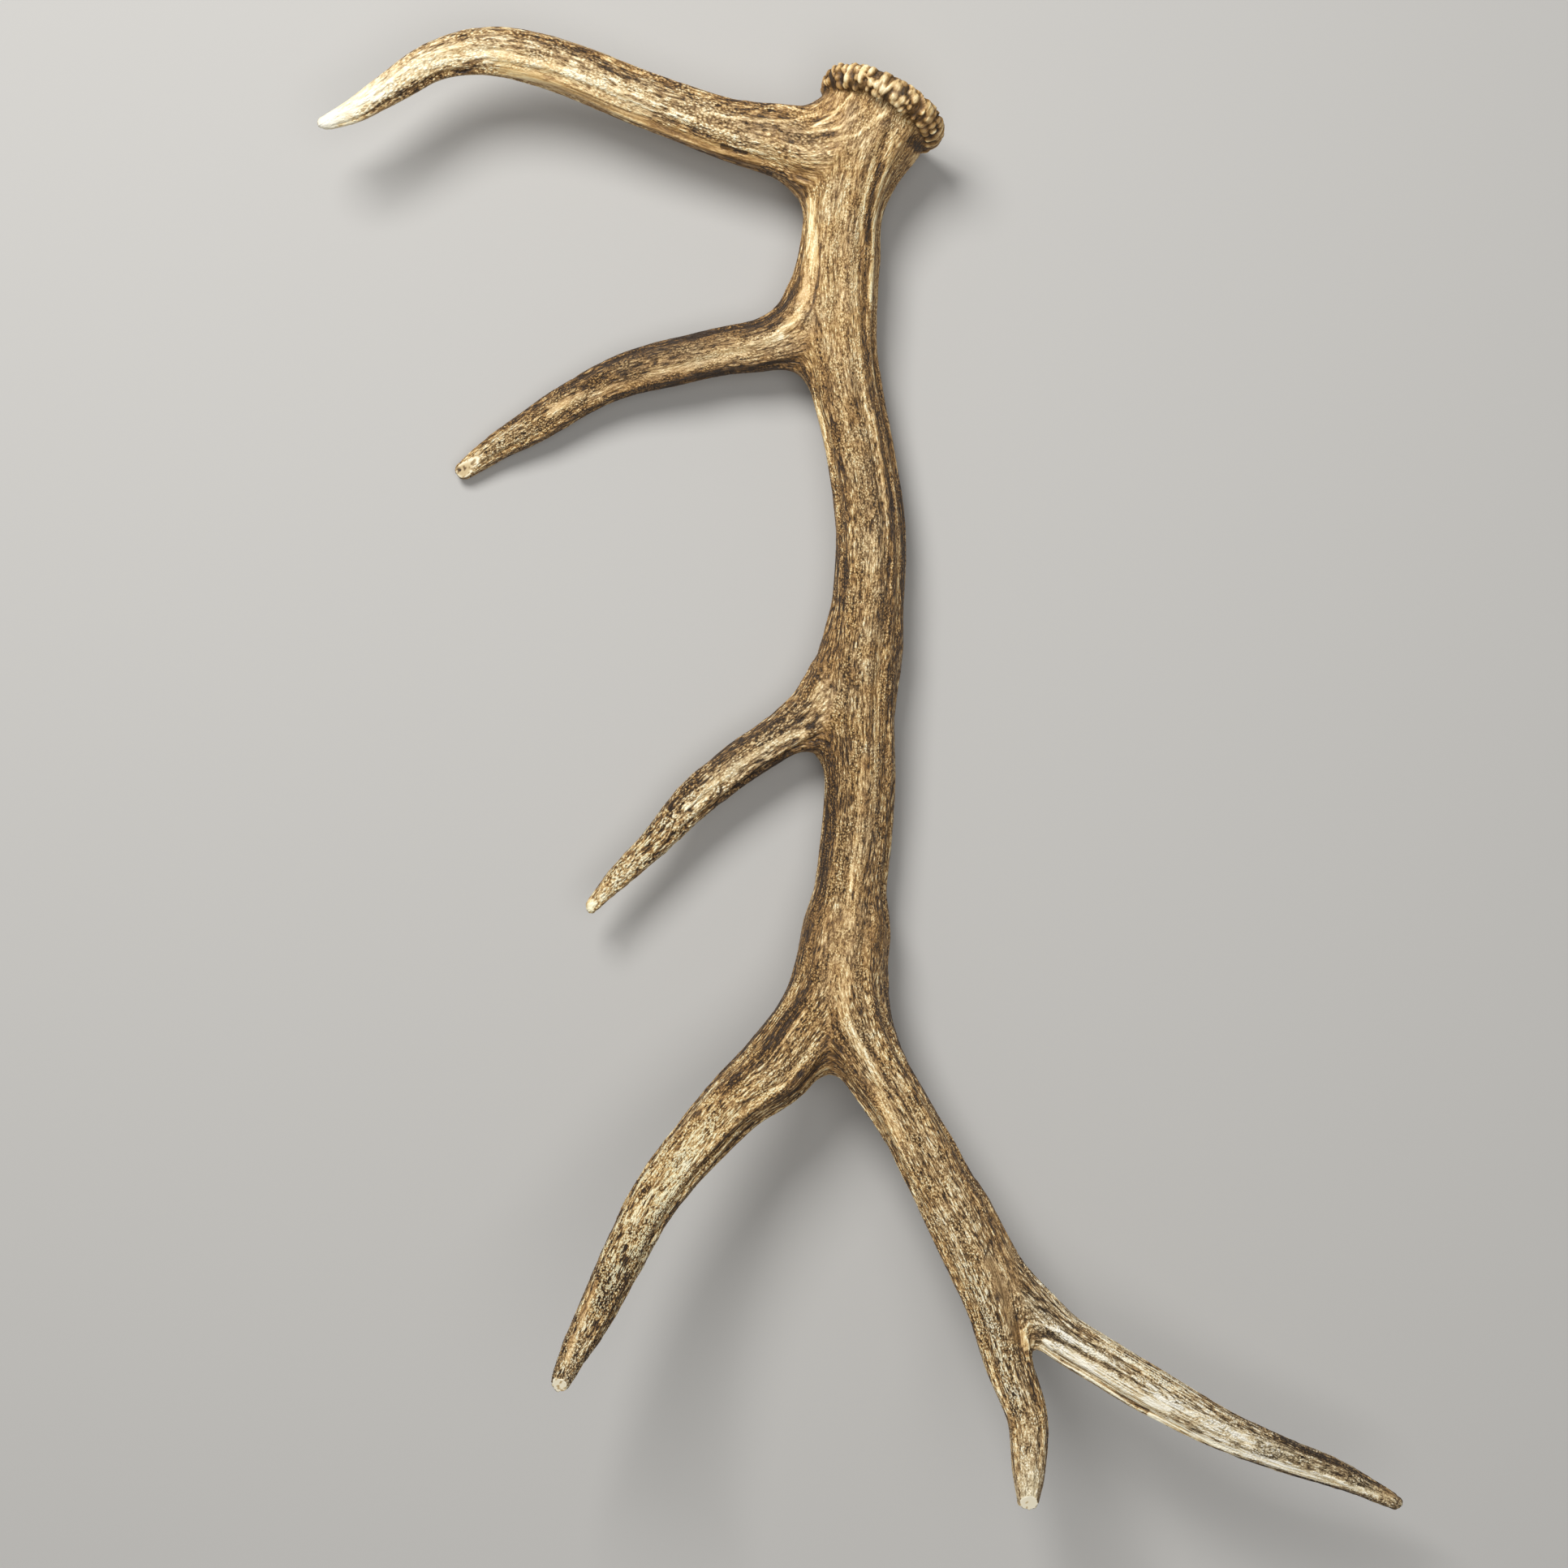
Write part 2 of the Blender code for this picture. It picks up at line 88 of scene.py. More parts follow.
SURROYAL_TINE = (
    (77, -336, 93, 18.0), (99, -377, 100, 21.0), (127, -405, 104, 19.6), (155, -429, 106, 17.6),
    (180, -444.6, 107, 17.4), (222, -469.6, 108, 17.2), (271, -496.6, 107, 14.7),
    (321, -517.4, 104, 12.3), (364.3, -534, 99, 9.9), (405.4, -554.8, 93, 5.5),
)
# branch: stations, thickness over width, and how widely its root runs into the beam, in mm
BRANCHES = {
    "beam": (BEAM, 0.96, 0.0),
    "brow": (BROW_TINE, 0.95, 32.0),
    "bez": (BEZ_TINE, 0.92, 39.0),
    "trez": (TREZ_TINE, 0.92, 33.0),
    "royal": (ROYAL_TINE, 0.90, 25.0),
    "surroyal": (SURROYAL_TINE, 0.85, 14.0),
}
AXIS_STEP = 4.0  # mm between the points read from a branch's smooth axis
BRANCH_REACH = 75.0  # mm round a branch's axis, within which points are measured
AT_ONCE = 20000  # points measured at once, to spare memory
WEB_LEVEL = 0.75  # how much less a root blends over and under the beam than beside it
ROLL_SPREAD = 1.5  # mm, how much farther an axis point may be and still count much
FAR = 999.0  # mm, the distance given to points well outside a branch


def unit(vector):
    """The vector, or each row of an array of vectors, at length one."""
    vector = np.asarray(vector, float)
    return vector / np.maximum(np.linalg.norm(vector, axis=-1, keepdims=True), 1e-9)


def smoothstep(low, high, value):
    """0 below low, 1 above high, and 3t^2 - 2t^3 between them."""
    t = np.clip((value - low) / (high - low), 0, 1)
    return t * t * (3 - 2 * t)


def smooth_axis(stations):
    """Points read every AXIS_STEP along a cubic curve through the stations.

    Between two stations it is the cubic that meets both, with the slope at each taken from its
    neighbours. A row is x, y, height and half width.
    """
    knots = np.array(stations, float)
    steps = np.linalg.norm(np.diff(knots[:, :3], axis=0), axis=1)
    along = np.concatenate([[0.0], np.cumsum(steps)])
    slope = np.gradient(knots, along, axis=0)
    where = np.linspace(0.0, along[-1], int(along[-1] / AXIS_STEP) + 1)
    i = np.clip(np.searchsorted(along, where, side="right") - 1, 0, len(along) - 2)
    span = (along[i + 1] - along[i])[:, None]
    u = (where - along[i])[:, None] / span
    start = (1 + 2 * u) * (1 - u) ** 2 * knots[i] + u * (1 - u) ** 2 * span * slope[i]
    end = u**2 * (3 - 2 * u) * knots[i + 1] + u**2 * (u - 1) * span * slope[i + 1]
    return where, start + end


class Branch:
    """A tapered rod of oval section round a smooth axis."""

    def __init__(self, stations, flatness):
        self.along, rows = smooth_axis(stations)
        self.centre = rows[:, :3]
        self.half_width = rows[:, 3]
        self.flatness = flatness
        self.ahead = unit(np.gradient(self.centre, self.along, axis=0))
        self.side = unit(np.cross((0.0, 0.0, 1.0), self.ahead))
        self.top = np.cross(self.ahead, self.side)
        self.low = self.centre.min(0) - BRANCH_REACH
        self.high = self.centre.max(0) + BRANCH_REACH

    def sections(self, points):
        """Each point's place in the cross section at every axis point: how far ahead of the section
        it is, to its side and above its middle, the last drawn out to a round section."""
        ahead = points @ self.ahead.T - (self.centre * self.ahead).sum(1)
        side = points @ self.side.T - (self.centre * self.side).sum(1)
        top = (points @ self.top.T - (self.centre * self.top).sum(1)) / self.flatness
        return ahead, side, top

    def near_parts(self, points):
        """The numbers of the points in the rod's box, in parts small enough to measure at once."""
        inside = np.flatnonzero(((points > self.low) & (points < self.high)).all(1))
        return [part for part in np.array_split(inside, len(inside) // AT_ONCE + 1) if len(part)]

    def measure(self, points):
        """For each point, its distance to the rod, that distance's slope, and the angle round the
        rod. A point is read between the two axis points whose cross sections it lies between."""
        distance, slope = np.full(len(points), FAR), np.zeros_like(points)
        angle = np.zeros(len(points))
        for part in self.near_parts(points):
            ahead, side, top = self.sections(points[part])
            near = (np.sqrt(ahead**2 + side**2 + top**2) - self.half_width).argmin(1)
            row = np.arange(len(part))
            first = np.clip(near - (ahead[row, near] < 0), 0, len(self.along) - 2)
            last = first + 1
            before, after = ahead[row, first], ahead[row, last]
            share = np.clip(before / np.maximum(before - after, 1e-6), 0, 1)
            past = np.minimum(before, 0) + np.maximum(after, 0)
            side, top, size = (a + share * (b - a) for a, b in (
                (side[row, first], side[row, last]), (top[row, first], top[row, last]),
                (self.half_width[first], self.half_width[last])))
            reach = np.maximum(np.sqrt(past**2 + side**2 + top**2), 1e-6)
            distance[part] = reach - size
            slope[part] = (past[:, None] * self.ahead[near] + side[:, None] * self.side[near]
                           + top[:, None] / self.flatness * self.top[near]) / reach[:, None]
            angle[part] = np.arctan2(top, side)
        return distance, slope, angle

    def roll_out(self, points):
        """For each point, its place along the rod, the angle round it, and the way the rod runs
        there. Each is a mean over the axis points near it, so it changes smoothly."""
        along, angle, ahead_of = np.zeros(len(points)), np.zeros(len(points)), np.zeros_like(points)
        for part in self.near_parts(points):
            ahead, side, top = self.sections(points[part])
            beyond = np.sqrt(ahead**2 + side**2 + top**2) - self.half_width
            weight = np.exp((beyond.min(1, keepdims=True) - beyond) / ROLL_SPREAD)
            weight /= weight.sum(1, keepdims=True)
            along[part] = (weight * (self.along + ahead)).sum(1)
            angle[part] = np.arctan2((weight * top).sum(1), (weight * side).sum(1))
            ahead_of[part] = weight @ self.ahead
        return along, angle, ahead_of


def blend(near, far, width):
    """Smooth union of two measures: where they differ by less than width, the join fills out."""
    (a, slope_a), (b, slope_b) = near, far
    share = np.clip(1.0 - np.abs(a - b) / width, 0.0, None)
    distance = np.minimum(a, b) - share**2 * width / 4
    part = np.where(a < b, 1 - share / 2, share / 2)[:, None]
    return distance, part * slope_a + (1 - part) * slope_b


branches = {name: Branch(stations, flatness) for name, (stations, flatness, _) in BRANCHES.items()}

# ---------------------------------------------------------------- the burr
# The burr is the flange that grows round the antler's root, with bone beads crowded on its edge and
# a flat seat where the antler came off the skull.
BURR_CENTRE = (22.3, 501.2, 49.0)
BURR_AXIS = (0.44, 0.875, -0.19)  # points out of the seat
BURR_RING = 41.0  # mm from the axis to the middle of the flange
BURR_WIDE = 7.5  # mm, the flange's half width outward
BURR_LONG = 9.2  # mm, its half length along the axis
BURR_BLEND = 5.0
SEAT_RISE = 7.0  # mm from the flange's middle out to the flat seat
BURR_END = 470.0  # mm, the burr lies wholly past this in y
BEAD_COLUMNS = 58
BEAD_ROWS = (-12.0, -5.5, 1.0, 7.0, 12.0)  # mm round the flange's section from its outer edge
BEAD_HEIGHT = 3.2  # mm
BEAD_SEED = 7
LONG_BEADS = 0.35  # the share of the columns that are one long bead and a small one
BEAD_FOOT = 3.0  # mm above the flange, where the beads end
BEAD_MIDDLE = 0.59  # the share of its height at which a bead is as pale as the bone round it
BEAD_PALE, BEAD_RUBBED = 0.72, 0.2  # how much paler its top is, and a rubbed bead all the more
BEAD_SMOOTH = 0.5  # the share of the grain that the beads don't show


def burr_place(points):
    """Place on the burr: distance from its axis, angle round it, and place along it."""
    axis = unit(BURR_AXIS)
    across = unit(np.cross((0.0, 0.0, 1.0), axis))
    up = np.cross(axis, across)
    offset = points - np.array(BURR_CENTRE)
    along = offset @ axis
    x, y = offset @ across, offset @ up
    radius = np.maximum(np.hypot(x, y), 1e-6)
    outward = (x[:, None] * across + y[:, None] * up) / radius[:, None]
    return radius, np.arctan2(y, x), along, outward, axis


def burr_flange(points):
    """Distance to the flange, an oval ring round the burr's axis, and its slope."""
    radius, _, along, outward, axis = burr_place(points)
    out, rise = (radius - BURR_RING) / BURR_WIDE, along / BURR_LONG
    reach = np.maximum(np.hypot(out, rise), 1e-6)
    slope = (out / BURR_WIDE)[:, None] * outward + (rise / BURR_LONG)[:, None] * axis
    return (reach - 1.0) * BURR_WIDE, slope / reach[:, None] * BURR_WIDE


def bead_rows():
    """Beads round the burr: angle, place round the flange's section, half width, half length, slant
    and how pale the bead is rubbed."""
    random = np.random.default_rng(BEAD_SEED)
    beads = []
    pitch = 2 * np.pi / BEAD_COLUMNS
    for column in range(BEAD_COLUMNS):
        angle = (column + random.uniform(-0.3, 0.3)) * pitch
        wide = pitch * (BURR_RING + BURR_WIDE) / 2 * random.uniform(0.75, 1.25)
        slant = random.uniform(-0.04, 0.015)
        if random.random() < LONG_BEADS:
            beads.append((angle, random.uniform(-4, 2), wide, random.uniform(7, 11), slant,
                          random.uniform(0, 1)))
            beads.append((angle + pitch * 0.3, random.uniform(9, 12), wide, 4.0, 0.0, 0.3))
            continue
        for place in BEAD_ROWS:
            size = random.uniform(0.65, 1.2)
            beads.append((angle + random.uniform(-0.45, 0.45) * pitch, place + random.uniform(-2, 2),
                          wide * size, 3.6 * size, 0.0, random.uniform(0, 1)))
    return beads


def bead_cover(points):
    """Height and paleness of the beads, and how much of a point is burr. A bead is half an egg on
    the flange, and where beads overlap the tallest shows."""
    radius, angle, along, _, _ = burr_place(points)
    section = np.arctan2(along / BURR_LONG, (radius - BURR_RING) / BURR_WIDE)
    place = section * (BURR_WIDE + BURR_LONG) / 2
    on_flange = (np.abs(along) < 2.2 * BURR_LONG) & (radius > BURR_RING - BURR_WIDE)
    height, pale = np.zeros(len(points)), np.zeros(len(points))
    for bead_angle, bead_place, wide, long, slant, bead_pale in bead_rows():
        turn = (angle - bead_angle - slant * (place - bead_place) + np.pi) % (2 * np.pi) - np.pi
        inside = 1 - (turn * radius / wide) ** 2 - ((place - bead_place) / long) ** 2
        rise = np.sqrt(np.clip(inside, 0, None)) * (0.75 + 0.25 * bead_pale)
        pale = np.where(rise > height, bead_pale, pale)
        height = np.maximum(height, rise)
    edge = burr_flange(points)[0]
    near = on_flange * np.clip(1 - edge / BEAD_FOOT, 0, 1)
    return height * near, pale, near


# ---------------------------------------------------------------- the skin of the whole antler
# The surface over all the branches and the burr is one closed skin. It starts as plain rods, which
# are fused, settled on the grown form and divided until a face is about a millimetre across.
SKIN_VOXEL = 4.7  # mm
SKIN_DIVISIONS = 2
SKIN_ROUNDS = 6  # of settling and evening out
EVENING = 0.4  # how far a point goes toward its neighbours' middle in each
ROD_SIDES, END_ROWS, FLANGE_SIDES = 14, 3, 32


def rod_mesh(branch):
    """A closed rod on a grid of rows along the axis and points round it, with round ends."""
    turn = np.linspace(0, np.pi / 2, END_ROWS + 1)[1:]
    rows = [(branch.centre, branch.ahead, branch.side, branch.top, branch.half_width)]
    for end, way in ((0, -1), (-1, 1)):
        size = branch.half_width[end]
        centre = branch.centre[end] + way * size * np.sin(turn)[:, None] * branch.ahead[end]
        frame_rows = [np.repeat(v[end][None], END_ROWS, 0)
                      for v in (branch.ahead, branch.side, branch.top)]
        rows.append((centre, *frame_rows, np.maximum(size * np.cos(turn), 0.3)))
    first, last = [tuple(column[::-1] for column in rows[1]), rows[2]]
    centre, _, side, top, size = (np.concatenate(c) for c in zip(first, rows[0], last))
    round_it = np.linspace(0, 2 * np.pi, ROD_SIDES, endpoint=False)
    ring = (np.cos(round_it)[None, :, None] * side[:, None]
            + branch.flatness * np.sin(round_it)[None, :, None] * top[:, None])
    grid = centre[:, None] + size[:, None, None] * ring
    number = np.arange(grid.shape[0] * ROD_SIDES).reshape(-1, ROD_SIDES)
    ahead, over = number[1:], np.roll(number, -1, axis=1)
    quads = np.stack([number[:-1], over[:-1], over[1:], ahead], -1).reshape(-1, 4)
    caps = [number[0][::-1].tolist(), number[-1].tolist()]
    return grid.reshape(-1, 3), quads.tolist() + caps


def flange_mesh():
    """A closed round disc where the burr's flange is: a profile of four points turned round."""
    axis = unit(BURR_AXIS)
    across = unit(np.cross((0.0, 0.0, 1.0), axis))
    up = np.cross(axis, across)
    turn = np.linspace(0, 2 * np.pi, FLANGE_SIDES, endpoint=False)
    rim = np.cos(turn)[:, None] * across + np.sin(turn)[:, None] * up
    size = BURR_RING + BURR_WIDE
    rows = [np.array(BURR_CENTRE) + size * rim + end * 0.8 * BURR_LONG * axis for end in (-1, 1)]
    number = np.arange(2 * FLANGE_SIDES).reshape(2, FLANGE_SIDES)
    over = np.roll(number, -1, axis=1)
    quads = np.stack([number[0], over[0], over[1], number[1]], -1)
    return np.concatenate(rows), quads.tolist() + [number[0][::-1].tolist(), number[1].tolist()]


def grown_form(points):
    """Distance to the whole antler, its slope, and each branch's measure."""
    form, measured = None, {}
    for name, (_, _, width) in BRANCHES.items():
        measured[name] = branches[name].measure(points)
        here = measured[name][:2]
        web = width * (1 - WEB_LEVEL * np.sin(measured["beam"][2]) ** 2)
        form = here if form is None else blend(form, here, web)
    distance, slope = blend(form, burr_flange(points), BURR_BLEND)
    return distance, slope, measured


def settle(points, steps, stride):
    """Points moved down the slope of the distance on to the form, at most a stride at a time."""
    for _ in range(steps):
        distance, slope, measured = grown_form(points)
        step = distance / np.maximum(np.linalg.norm(slope, axis=1), 0.3)
        points = points - np.clip(step, -stride, stride)[:, None] * unit(slope)
    return points, unit(slope), measured


def relax(points, edges, amount):
    """Each point moved an amount of the way to the middle of its neighbours."""
    total, count = np.zeros_like(points), np.bincount(edges.ravel(), minlength=len(points))
    for axis in range(3):
        total[:, axis] = (np.bincount(edges[:, 0], points[edges[:, 1], axis], len(points))
                          + np.bincount(edges[:, 1], points[edges[:, 0], axis], len(points)))
    return points + amount * (total / count[:, None] - points)


def read_mesh(mesh):
    """A mesh's points in mm, its edges, and the corners of its faces in a row."""
    points = np.empty(len(mesh.vertices) * 3)
    mesh.vertices.foreach_get("co", points)
    edges = np.empty(len(mesh.edges) * 2, np.int64)
    mesh.edges.foreach_get("vertices", edges)
    corners = np.empty(len(mesh.loops), np.int64)
    mesh.loops.foreach_get("vertex_index", corners)
    return points.reshape(-1, 3) / MM, edges.reshape(-1, 2), corners


def finished_mesh(obj):
    """A new mesh of the object as its modifiers leave it. The object is removed."""
    bpy.context.view_layer.update()
    graph = bpy.context.evaluated_depsgraph_get()
    mesh = bpy.data.meshes.new_from_object(obj.evaluated_get(graph))
    bpy.data.objects.remove(obj)
    return mesh


def rough_skin():
    """The rods and the flange fused to one skin of square faces."""
    points, faces = [], []
    for shape in [rod_mesh(branch) for branch in branches.values()] + [flange_mesh()]:
        start = sum(map(len, points))
        points.append(shape[0])
        faces += [[corner + start for corner in face] for face in shape[1]]
    mesh = bpy.data.meshes.new("rods")
    mesh.from_pydata(np.concatenate(points) * MM, [], faces)
    rods = bpy.data.objects.new("rods", mesh)
    bpy.context.scene.collection.objects.link(rods)
    fuse = rods.modifiers.new("fuse", "REMESH")
    fuse.mode = "VOXEL"
    fuse.voxel_size = SKIN_VOXEL * MM
    return finished_mesh(rods)


def fine_skin():
    """The fused skin settled on the form and divided."""
    mesh = rough_skin()
    points, edges, _ = read_mesh(mesh)
    for _ in range(SKIN_ROUNDS):
        points, _, _ = settle(points, 2, SKIN_VOXEL / 2)
        points = relax(points, edges, EVENING)
    points, _, _ = settle(points, 2, SKIN_VOXEL)
    mesh.vertices.foreach_set("co", (points * MM).ravel())
    skin = bpy.data.objects.new("skin", mesh)
    bpy.context.scene.collection.objects.link(skin)
    divide = skin.modifiers.new("divide", "SUBSURF")
    divide.levels = divide.render_levels = SKIN_DIVISIONS
    return finished_mesh(skin)


fine = fine_skin()
points, _, corners = read_mesh(fine)
faces = corners.reshape(-1, 4)
points, outward, measured = settle(points, 1, 1.0)
# for each branch: distance to it, that distance's slope, place along it, angle round it, its way
places = {name: (*measured[name][:2], *branches[name].roll_out(points)) for name in branches}

# ---------------------------------------------------------------- the way the bone runs
# Bone is laid down in streaks that follow each branch and bend into the tines at the forks. Round
# the crotch of a fork they turn and run along its edge.
FLOW_MIX = 6.0  # mm, how much farther a branch may be and still turn the flow much
FORK_REACH = 26.0  # mm, how much farther the second branch may be where a fork ends
RIDGE_FADE, GROOVE_FADE = 3.0, 2.5  # mm off a branch, where these of it count e times less


def bone_flow():
    """The way the streaks run at each point, and how much the point belongs to a fork.

    The branches' own directions are mixed by nearness. In a crotch, which faces the way that both
    branches run, the streaks go from one branch to the other instead.
    """
    names = list(places)
    distance = np.array([places[name][0] for name in names])
    near = np.exp(-(distance - distance.min(0)) / FLOW_MIX)
    ahead = np.array([places[name][4] for name in names])
    flow = unit((near[:, :, None] * ahead).sum(0))
    order = np.argsort(distance, axis=0)
    row = np.arange(len(points))
    first, second = order[0], order[1]
    slope = np.array([places[name][1] for name in names])
    share = np.clip(1 - (distance[second, row] - distance[first, row]) / FORK_REACH, 0, 1)
    crotch = (unit(ahead[first, row] + ahead[second, row]) * outward).sum(1)
    turn = smoothstep(0.15, 0.75, crotch) * share
    across = unit(slope[first, row] - slope[second, row])
    across *= np.sign((across * flow).sum(1))[:, None]
    flow = flow * (1 - turn)[:, None] + across * turn[:, None]
    flow -= (flow * outward).sum(1)[:, None] * outward
    return unit(flow), share


flow, fork_share = bone_flow()

noise_table = np.random.default_rng(31).uniform(-1, 1, (64, 64, 64)).astype(np.float32)


def grit(place):
    """Smooth noise from -1 to 1: random values on a cubic lattice, eased between its corners."""
    base = np.floor(place).astype(np.int64)
    t = place - base
    t = t * t * (3 - 2 * t)
    total = 0.0
    for corner in range(8):
        step = np.array([corner & 1, corner >> 1 & 1, corner >> 2 & 1])
        share = np.prod(np.where(step, t, 1 - t), axis=1)
        i, j, k = ((base + step) & 63).T
        total = total + share * noise_table[i, j, k]
    return total


def streaks(cell, reach, seed):
    """Grains drawn out along the flow: noise averaged over a line of the given reach each way."""
    samples = max(5, int(2.2 * reach / cell))
    total, square = 0.0, 0.0
    for s in np.linspace(-1, 1, samples):
        weight = 1 + np.cos(np.pi * s * 0.95)
        total = total + weight * grit((points + s * reach * flow) / cell + seed * 11.7)
        square += weight**2
    return total / np.sqrt(square) * 1.6


def counted(distance, fade, farthest=40.0):
    """How much a branch counts at a distance from it: 1 on it, and e times less for every fade
    farther out, as far as the farthest."""
    return np.exp(-np.clip(distance, 0, farthest) / fade)


def branch_ridges(table):
    """Waves round each branch: cosines of so many turns of the angle, which wander along it by two
    sines of the place along. Where branches join, the nearer counts more."""
    total, weight = 0.0, 0.0
    for number, name in enumerate(places):
        distance, _, along, angle, _ = places[name]
        near = counted(distance, RIDGE_FADE)
        wave = 0.0
        for count, height, drift in table:
            wander = (1.3 * np.sin(along / drift + 2.0 * number)
                      + 0.6 * np.sin(along / (0.4 * drift) + count))
            wave = wave + height * np.cos(count * angle + wander + count * number)
        total = total + near * wave
        weight = weight + near
    return total / weight


def branch_grooves(spacing, length, seed):
    """Long grooves down each branch: noise on a rolled-out sheet of it, drawn out along it."""
    total, weight = 0.0, 1e-9
    for number, name in enumerate(places):
        distance, _, along, angle, _ = places[name]
        near = counted(distance, GROOVE_FADE)
        middle = branches[name].half_width.mean() / spacing
        sheet = np.stack([middle * np.cos(angle), middle * np.sin(angle), along / length], 1)
        total = total + near * grit(sheet + seed * 9.1 + 20 * number)
        weight = weight + near
    return total / weight


# ---------------------------------------------------------------- the relief of the bone
# The vessels that fed the growing bone left long grooves with low ridges between them, and the bone
# itself set in fine streaks and grains. Worn parts are rubbed smoother.
RIDGES = ((5, 0.7, 95.0), (9, 0.8, 70.0), (14, 0.5, 52.0))  # ridges round, height in mm, drift
GROOVE_SPACING = 3.8  # mm
GROOVE_LENGTH = 38.0
WALE_SPACING = 4.6  # mm between the long low wales, and how long they run
WALE_LENGTH = 130.0
GRAIN_SIZE = (1.35, 3.0)  # mm across, and how far each way a grain is drawn out
STREAK_SIZE = (2.2, 8.0)
LUMP_SIZE = 30.0
PATCH_SIZES = (11.0, 5.0)
# how high each stands, or how deep it is cut, in mm
GRAIN_HEIGHT, STREAK_HEIGHT, LUMP_HEIGHT, CREST_HEIGHT = 0.06, 0.14, 0.45, 0.5
GROOVE_DEPTH, CUT_DEPTH = 0.3, 0.6
# how much paler or darker each makes the bone
GRAIN_PALE, STREAK_PALE, PATCH_PALE, CREST_PALE = 0.04, 0.05, 0.05, 0.18
GROOVE_DARK, CUT_DARK = 0.10, 0.28
FULL_RIDGES = 24.0  # mm, the half width at which a branch's ridges have their whole height
OFF_BRANCH = 40.0  # mm, more than any half width

bead_rise, bead_pale, on_burr = bead_cover(points)
seat_side = smoothstep(SEAT_RISE - 3.0, SEAT_RISE - 1.0, burr_place(points)[2])
seat_side = seat_side * (points[:, 1] > BURR_END)
# the half width of the slimmest branch that a point is on, not counting those over 2 mm away
slim = np.min([np.interp(places[name][2], branch.along, branch.half_width)
               + OFF_BRANCH * np.clip(places[name][0] - 2, 0, 1)
               for name, branch in branches.items()], axis=0)
slim = np.clip(slim / FULL_RIDGES, 0.25, 1.0)
bare = np.clip(1 - BEAD_HEIGHT * bead_rise, 0, 1) * (1 - seat_side)
ridges = branch_ridges(RIDGES) * slim * bare
groove = branch_grooves(GROOVE_SPACING, GROOVE_LENGTH, 1)
groove_cut = np.clip(1 - np.abs(groove) / 0.2, 0, 1)
grain = streaks(*GRAIN_SIZE, 1)
streak = streaks(*STREAK_SIZE, 2)
wale = branch_grooves(WALE_SPACING, WALE_LENGTH, 3)
wale_crest, wale_cut = smoothstep(0.12, 0.5, wale), smoothstep(-0.12, -0.4, wale)
lumps = grit(points / LUMP_SIZE + 3.3)
patches = grit(points / PATCH_SIZES[0] + 8.1) + 0.5 * grit(points / PATCH_SIZES[1] + 1.7)

# ---------------------------------------------------------------- where it lies
# The antler lies loose on its outer side, on the beam and the bez tine. The middle of its box is
# over the origin and its lowest point is on the floor, as with the solids.
body = points + (ridges + BEAD_HEIGHT * bead_rise)[:, None] * outward
middle = (np.array(cad_box[0]) + np.array(cad_box[1])) / 2 / MM - (body.min(0) + body.max(0)) / 2
shift = np.array([middle[0], middle[1], -body[:, 2].min()])

# ---------------------------------------------------------------- the worn flats
# The seat broke away flat from the skull when the antler was cast, and shows pale pitted bone.
# Three tips are worn flat, down to the cream bone under the stain.
TIP_FLATS = (
    # a point on the flat, the way it faces, and how pale its rim and its middle are
    ((-216, -448, 189.6), (-0.2, -0.42, 0.88), 0.99, 0.95),
    ((123, -537, 182), (0.0, -0.42, 0.91), 0.99, 0.95),
    ((-294, 233, 14.3), (-0.27, -0.21, 0.94), 0.97, 0.70),
)
SEAT_REACH, TIP_REACH = 62.0, 24.0  # mm
SEAT_PALE, PIT_DARK, PIT_DEPTH, SPECK_DARK = 0.74, 0.3, 0.5, 0.4
RIM_WIDE = (0.6, 2.0)  # mm below the old surface, where a flat's rim goes over to its middle

seat_centre = np.array(BURR_CENTRE) + SEAT_RISE * unit(BURR_AXIS)


def beyond_flat(spots, centre, direction, reach):
    """How far each spot stands beyond a flat's plane, and 0 under it or out of its reach."""
    offset = spots - np.array(centre)
    beyond = offset @ unit(direction)
    across = np.linalg.norm(offset - beyond[:, None] * unit(direction), axis=1)
    return np.where(across < reach, np.maximum(beyond, 0), 0)


flat_tone, on_flat = np.zeros(len(points)), np.zeros(len(points))
specks = SPECK_DARK * smoothstep(0.55, 0.85, grain)
for centre, direction, rim, inside in TIP_FLATS:
    beyond = beyond_flat(points, centre, direction, TIP_REACH)
    here = smoothstep(0.0, 0.25, beyond)
    flat_tone += here * (rim + (inside - rim) * smoothstep(*RIM_WIDE, beyond) - specks)
    on_flat += here
on_seat = smoothstep(0.0, 0.3, beyond_flat(points, seat_centre, BURR_AXIS, SEAT_REACH))
seat_pits = smoothstep(0.1, 0.6, grain) * on_seat
flat_tone += on_seat * (SEAT_PALE + 0.08 * patches) - PIT_DARK * seat_pits
on_flat += on_seat

